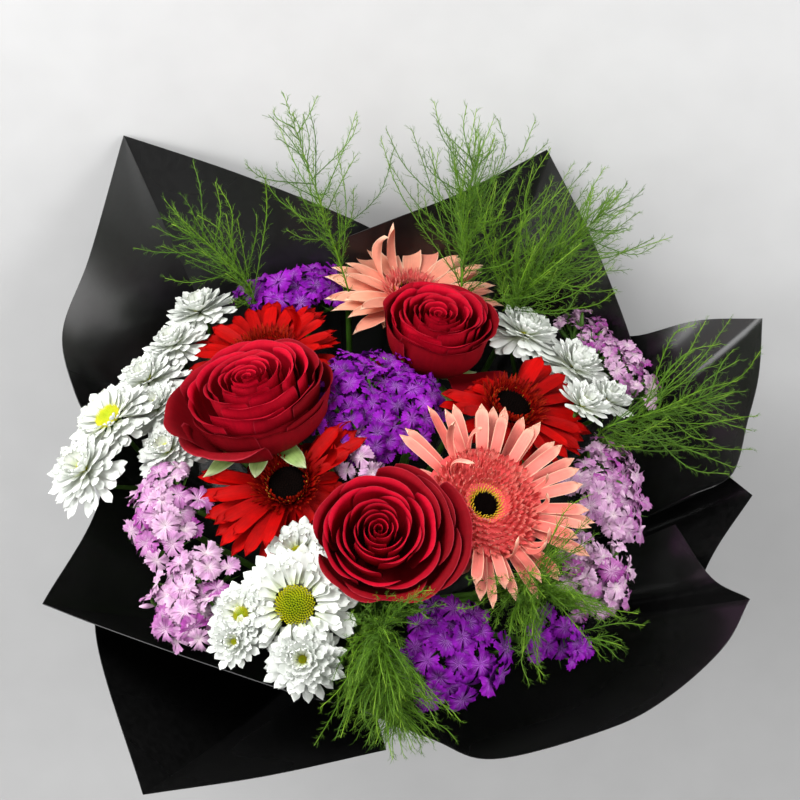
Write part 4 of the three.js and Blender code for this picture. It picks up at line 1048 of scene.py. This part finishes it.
def film_column(rim, layer, steps):
    """From the skirt below the tie up to a point of the rim, bending outwards evenly."""
    angle = math.atan2(rim[1], rim[0])
    reach = math.hypot(rim[0], rim[1]) - WRAP_NECK
    profile = [(WRAP_NECK + WRAP_SKIRT * (1 - k / 4),
                WRAP_SKIRT_END + (WRAP_NECK_FOOT - WRAP_SKIRT_END) * k / 4) for k in range(4)]
    profile += [(WRAP_NECK, WRAP_NECK_FOOT), (WRAP_NECK, 4), (WRAP_NECK, WRAP_NECK_TOP - 4)]
    for share in np.linspace(0.02, 1, steps):
        climbed = (share - WRAP_FLARE * share**2) / (1 - WRAP_FLARE)
        profile.append((WRAP_NECK + reach * share, WRAP_NECK_TOP + (rim[2] - WRAP_NECK_TOP) * climbed))
    profile = np.array(profile)
    tangent = unit(np.gradient(profile, axis=0))
    normal = np.column_stack([tangent[:, 1], -tangent[:, 0]])
    away = layer * (WRAP_STEP + WRAP_SPREAD * np.maximum(0, profile[:, 0] - WRAP_NECK - 8))
    profile = profile + normal * away[:, None]
    radius, height = profile.T
    column = np.column_stack([radius * math.cos(angle), radius * math.sin(angle), height])
    sunk = WRAP_FILM / 2 + FILM_LIFT - (column @ UP + FILM_REST)
    return column + np.maximum(0, sunk)[:, None] * UP


for name, (layer, (first_run, second_run)) in SHEETS.items():
    rim = []
    for run in (first_run, first_run[-1:] + second_run):
        length = np.linalg.norm(np.diff(np.array(run), axis=0), axis=1).sum()
        walked = smooth_path(run, round(length / 5))
        rim += list(walked[1 if rim else 0:])
    columns = [film_column(point, layer, 26) for point in rim]
    film = Shape()
    film.grid(columns)
    film.piece(f"{name}_film", film_paint.material, [name], "film", thick=FILM_THICK)

# ---------- tie and ribbon ----------

TWINE_TURNS = 7
TWINE_COIL = 16.7
TWINE_RADIUS = 0.85
TWINE_REACH = 6  # above and below the tie's middle
RIBBON_THICK = 0.5
RIBBON_REACH = 7
RIBBON_INSET = 0.7

twine = grained_paint("twine", 0.8, (0.2, 0.16, 0.08), (0.42, 0.36, 0.22), 900.0, 3.0, bump=(0.4, 0.8))
winding = Shape()
wound = TURN * TWINE_TURNS
coil = [(TWINE_COIL * math.cos(a), TWINE_COIL * math.sin(a), -TWINE_REACH + 2 * TWINE_REACH * a / wound)
        for a in np.linspace(0, wound, 40 * TWINE_TURNS)]
tube(winding, coil, TWINE_RADIUS, 7)
winding.piece("twine_winding", twine.material, ["stem_tie"], "twine")

satin = grained_paint(
    "ribbon", 0.35, (0.007, 0.007, 0.008), (0.016, 0.016, 0.018), 1.0, 2.0, stretch=(6, 500, 1),
    bump=(0.2, 0.4))
satin.shader.inputs["Sheen Weight"].default_value = 0.3
ribbon_low, ribbon_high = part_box("wrap_ribbon")
ribbon_radius = (ribbon_high[0] - ribbon_low[0]) * 500 - RIBBON_INSET


def ribbon_point(angle, z):
    radius = ribbon_radius + 0.35 * math.sin(3 * angle + z * 0.5) + 0.2 * math.cos(z)
    return radius * math.cos(angle), radius * math.sin(angle), z


ribbon = Shape()
band = [[ribbon_point(angle, z) for z in np.linspace(-RIBBON_REACH, RIBBON_REACH, 9)]
        for angle in np.linspace(0, TURN, 97)]
ribbon.grid(band)
ribbon.piece("satin_ribbon", satin.material, ["wrap_ribbon"], "ribbon", thick=RIBBON_THICK)

# ---------- camera, floor and light ----------

CAMERA_FAR = 3.2
VIEW_WIDTH = 0.5
PICTURE_ACROSS, PICTURE_UP = 27.3, 46.5  # the picture's middle, as blooms are placed
picture_middle = np.array([PICTURE_ACROSS, 0, DOME_CENTRE]) + PICTURE_UP * IMAGE_UP
target = Vector(to_world([picture_middle])[0])
line_of_sight = Vector(LYING @ TOWARDS)
image_up = Vector(LYING @ IMAGE_UP)
image_right = image_up.cross(line_of_sight)

camera_data = bpy.data.cameras.new("camera")
camera = add_object("camera", camera_data)
camera.matrix_world = Matrix.Translation(target + line_of_sight * CAMERA_FAR) @ Matrix(
    (image_right, image_up, line_of_sight)).transposed().to_4x4()
camera_data.lens = camera_data.sensor_width * CAMERA_FAR / VIEW_WIDTH
camera_data.clip_end = 20
bpy.context.scene.camera = camera
bpy.context.scene.view_settings.view_transform = "Standard"

FLOOR_REACH = 6  # m from its middle to each edge
corners = [(-1, -1), (1, -1), (1, 1), (-1, 1)]
floor_mesh = bpy.data.meshes.new("floor")
floor_mesh.from_pydata([(FLOOR_REACH * x, FLOOR_REACH * y, 0) for x, y in corners], [], [(0, 1, 2, 3)])
floor = add_object("floor", floor_mesh)
floor_mesh.materials.append(grained_paint("floor", 0.6, grey(0.5), grey(0.52), 30.0, 2.0).material)


def softbox(name, offset, size, power):
    """A square lamp that faces the flowers, placed from them along the image's axes."""
    right, up, near = offset
    lamp = bpy.data.lights.new(name, "AREA")
    lamp.shape = "SQUARE"
    lamp.size = size
    lamp.energy = power
    holder = add_object(name, lamp)
    holder.location = target + image_right * right + image_up * up + line_of_sight * near
    holder.rotation_euler = (holder.location - target).to_track_quat("Z", "Y").to_euler()


softbox("key", (-0.8, 0.9, 1.4), 0.8, 35)
softbox("fill", (1.2, 0.2, 1.4), 1.0, 16)
softbox("rim", (0.5, 1.6, 0.3), 0.7, 14)
softbox("low", (-1.1, -0.4, 1.6), 0.8, 10)
softbox("left", (-1.6, 0.1, 0.6), 0.8, 17)
softbox("right", (1.6, 0.0, 0.5), 0.7, 14)

world = bpy.data.worlds.new("studio")
world.use_nodes = True
background = world.node_tree.nodes["Background"].inputs
background["Color"].default_value = (1.0, 1.0, 1.0, 1)
background["Strength"].default_value = 0.28
bpy.context.scene.world = world
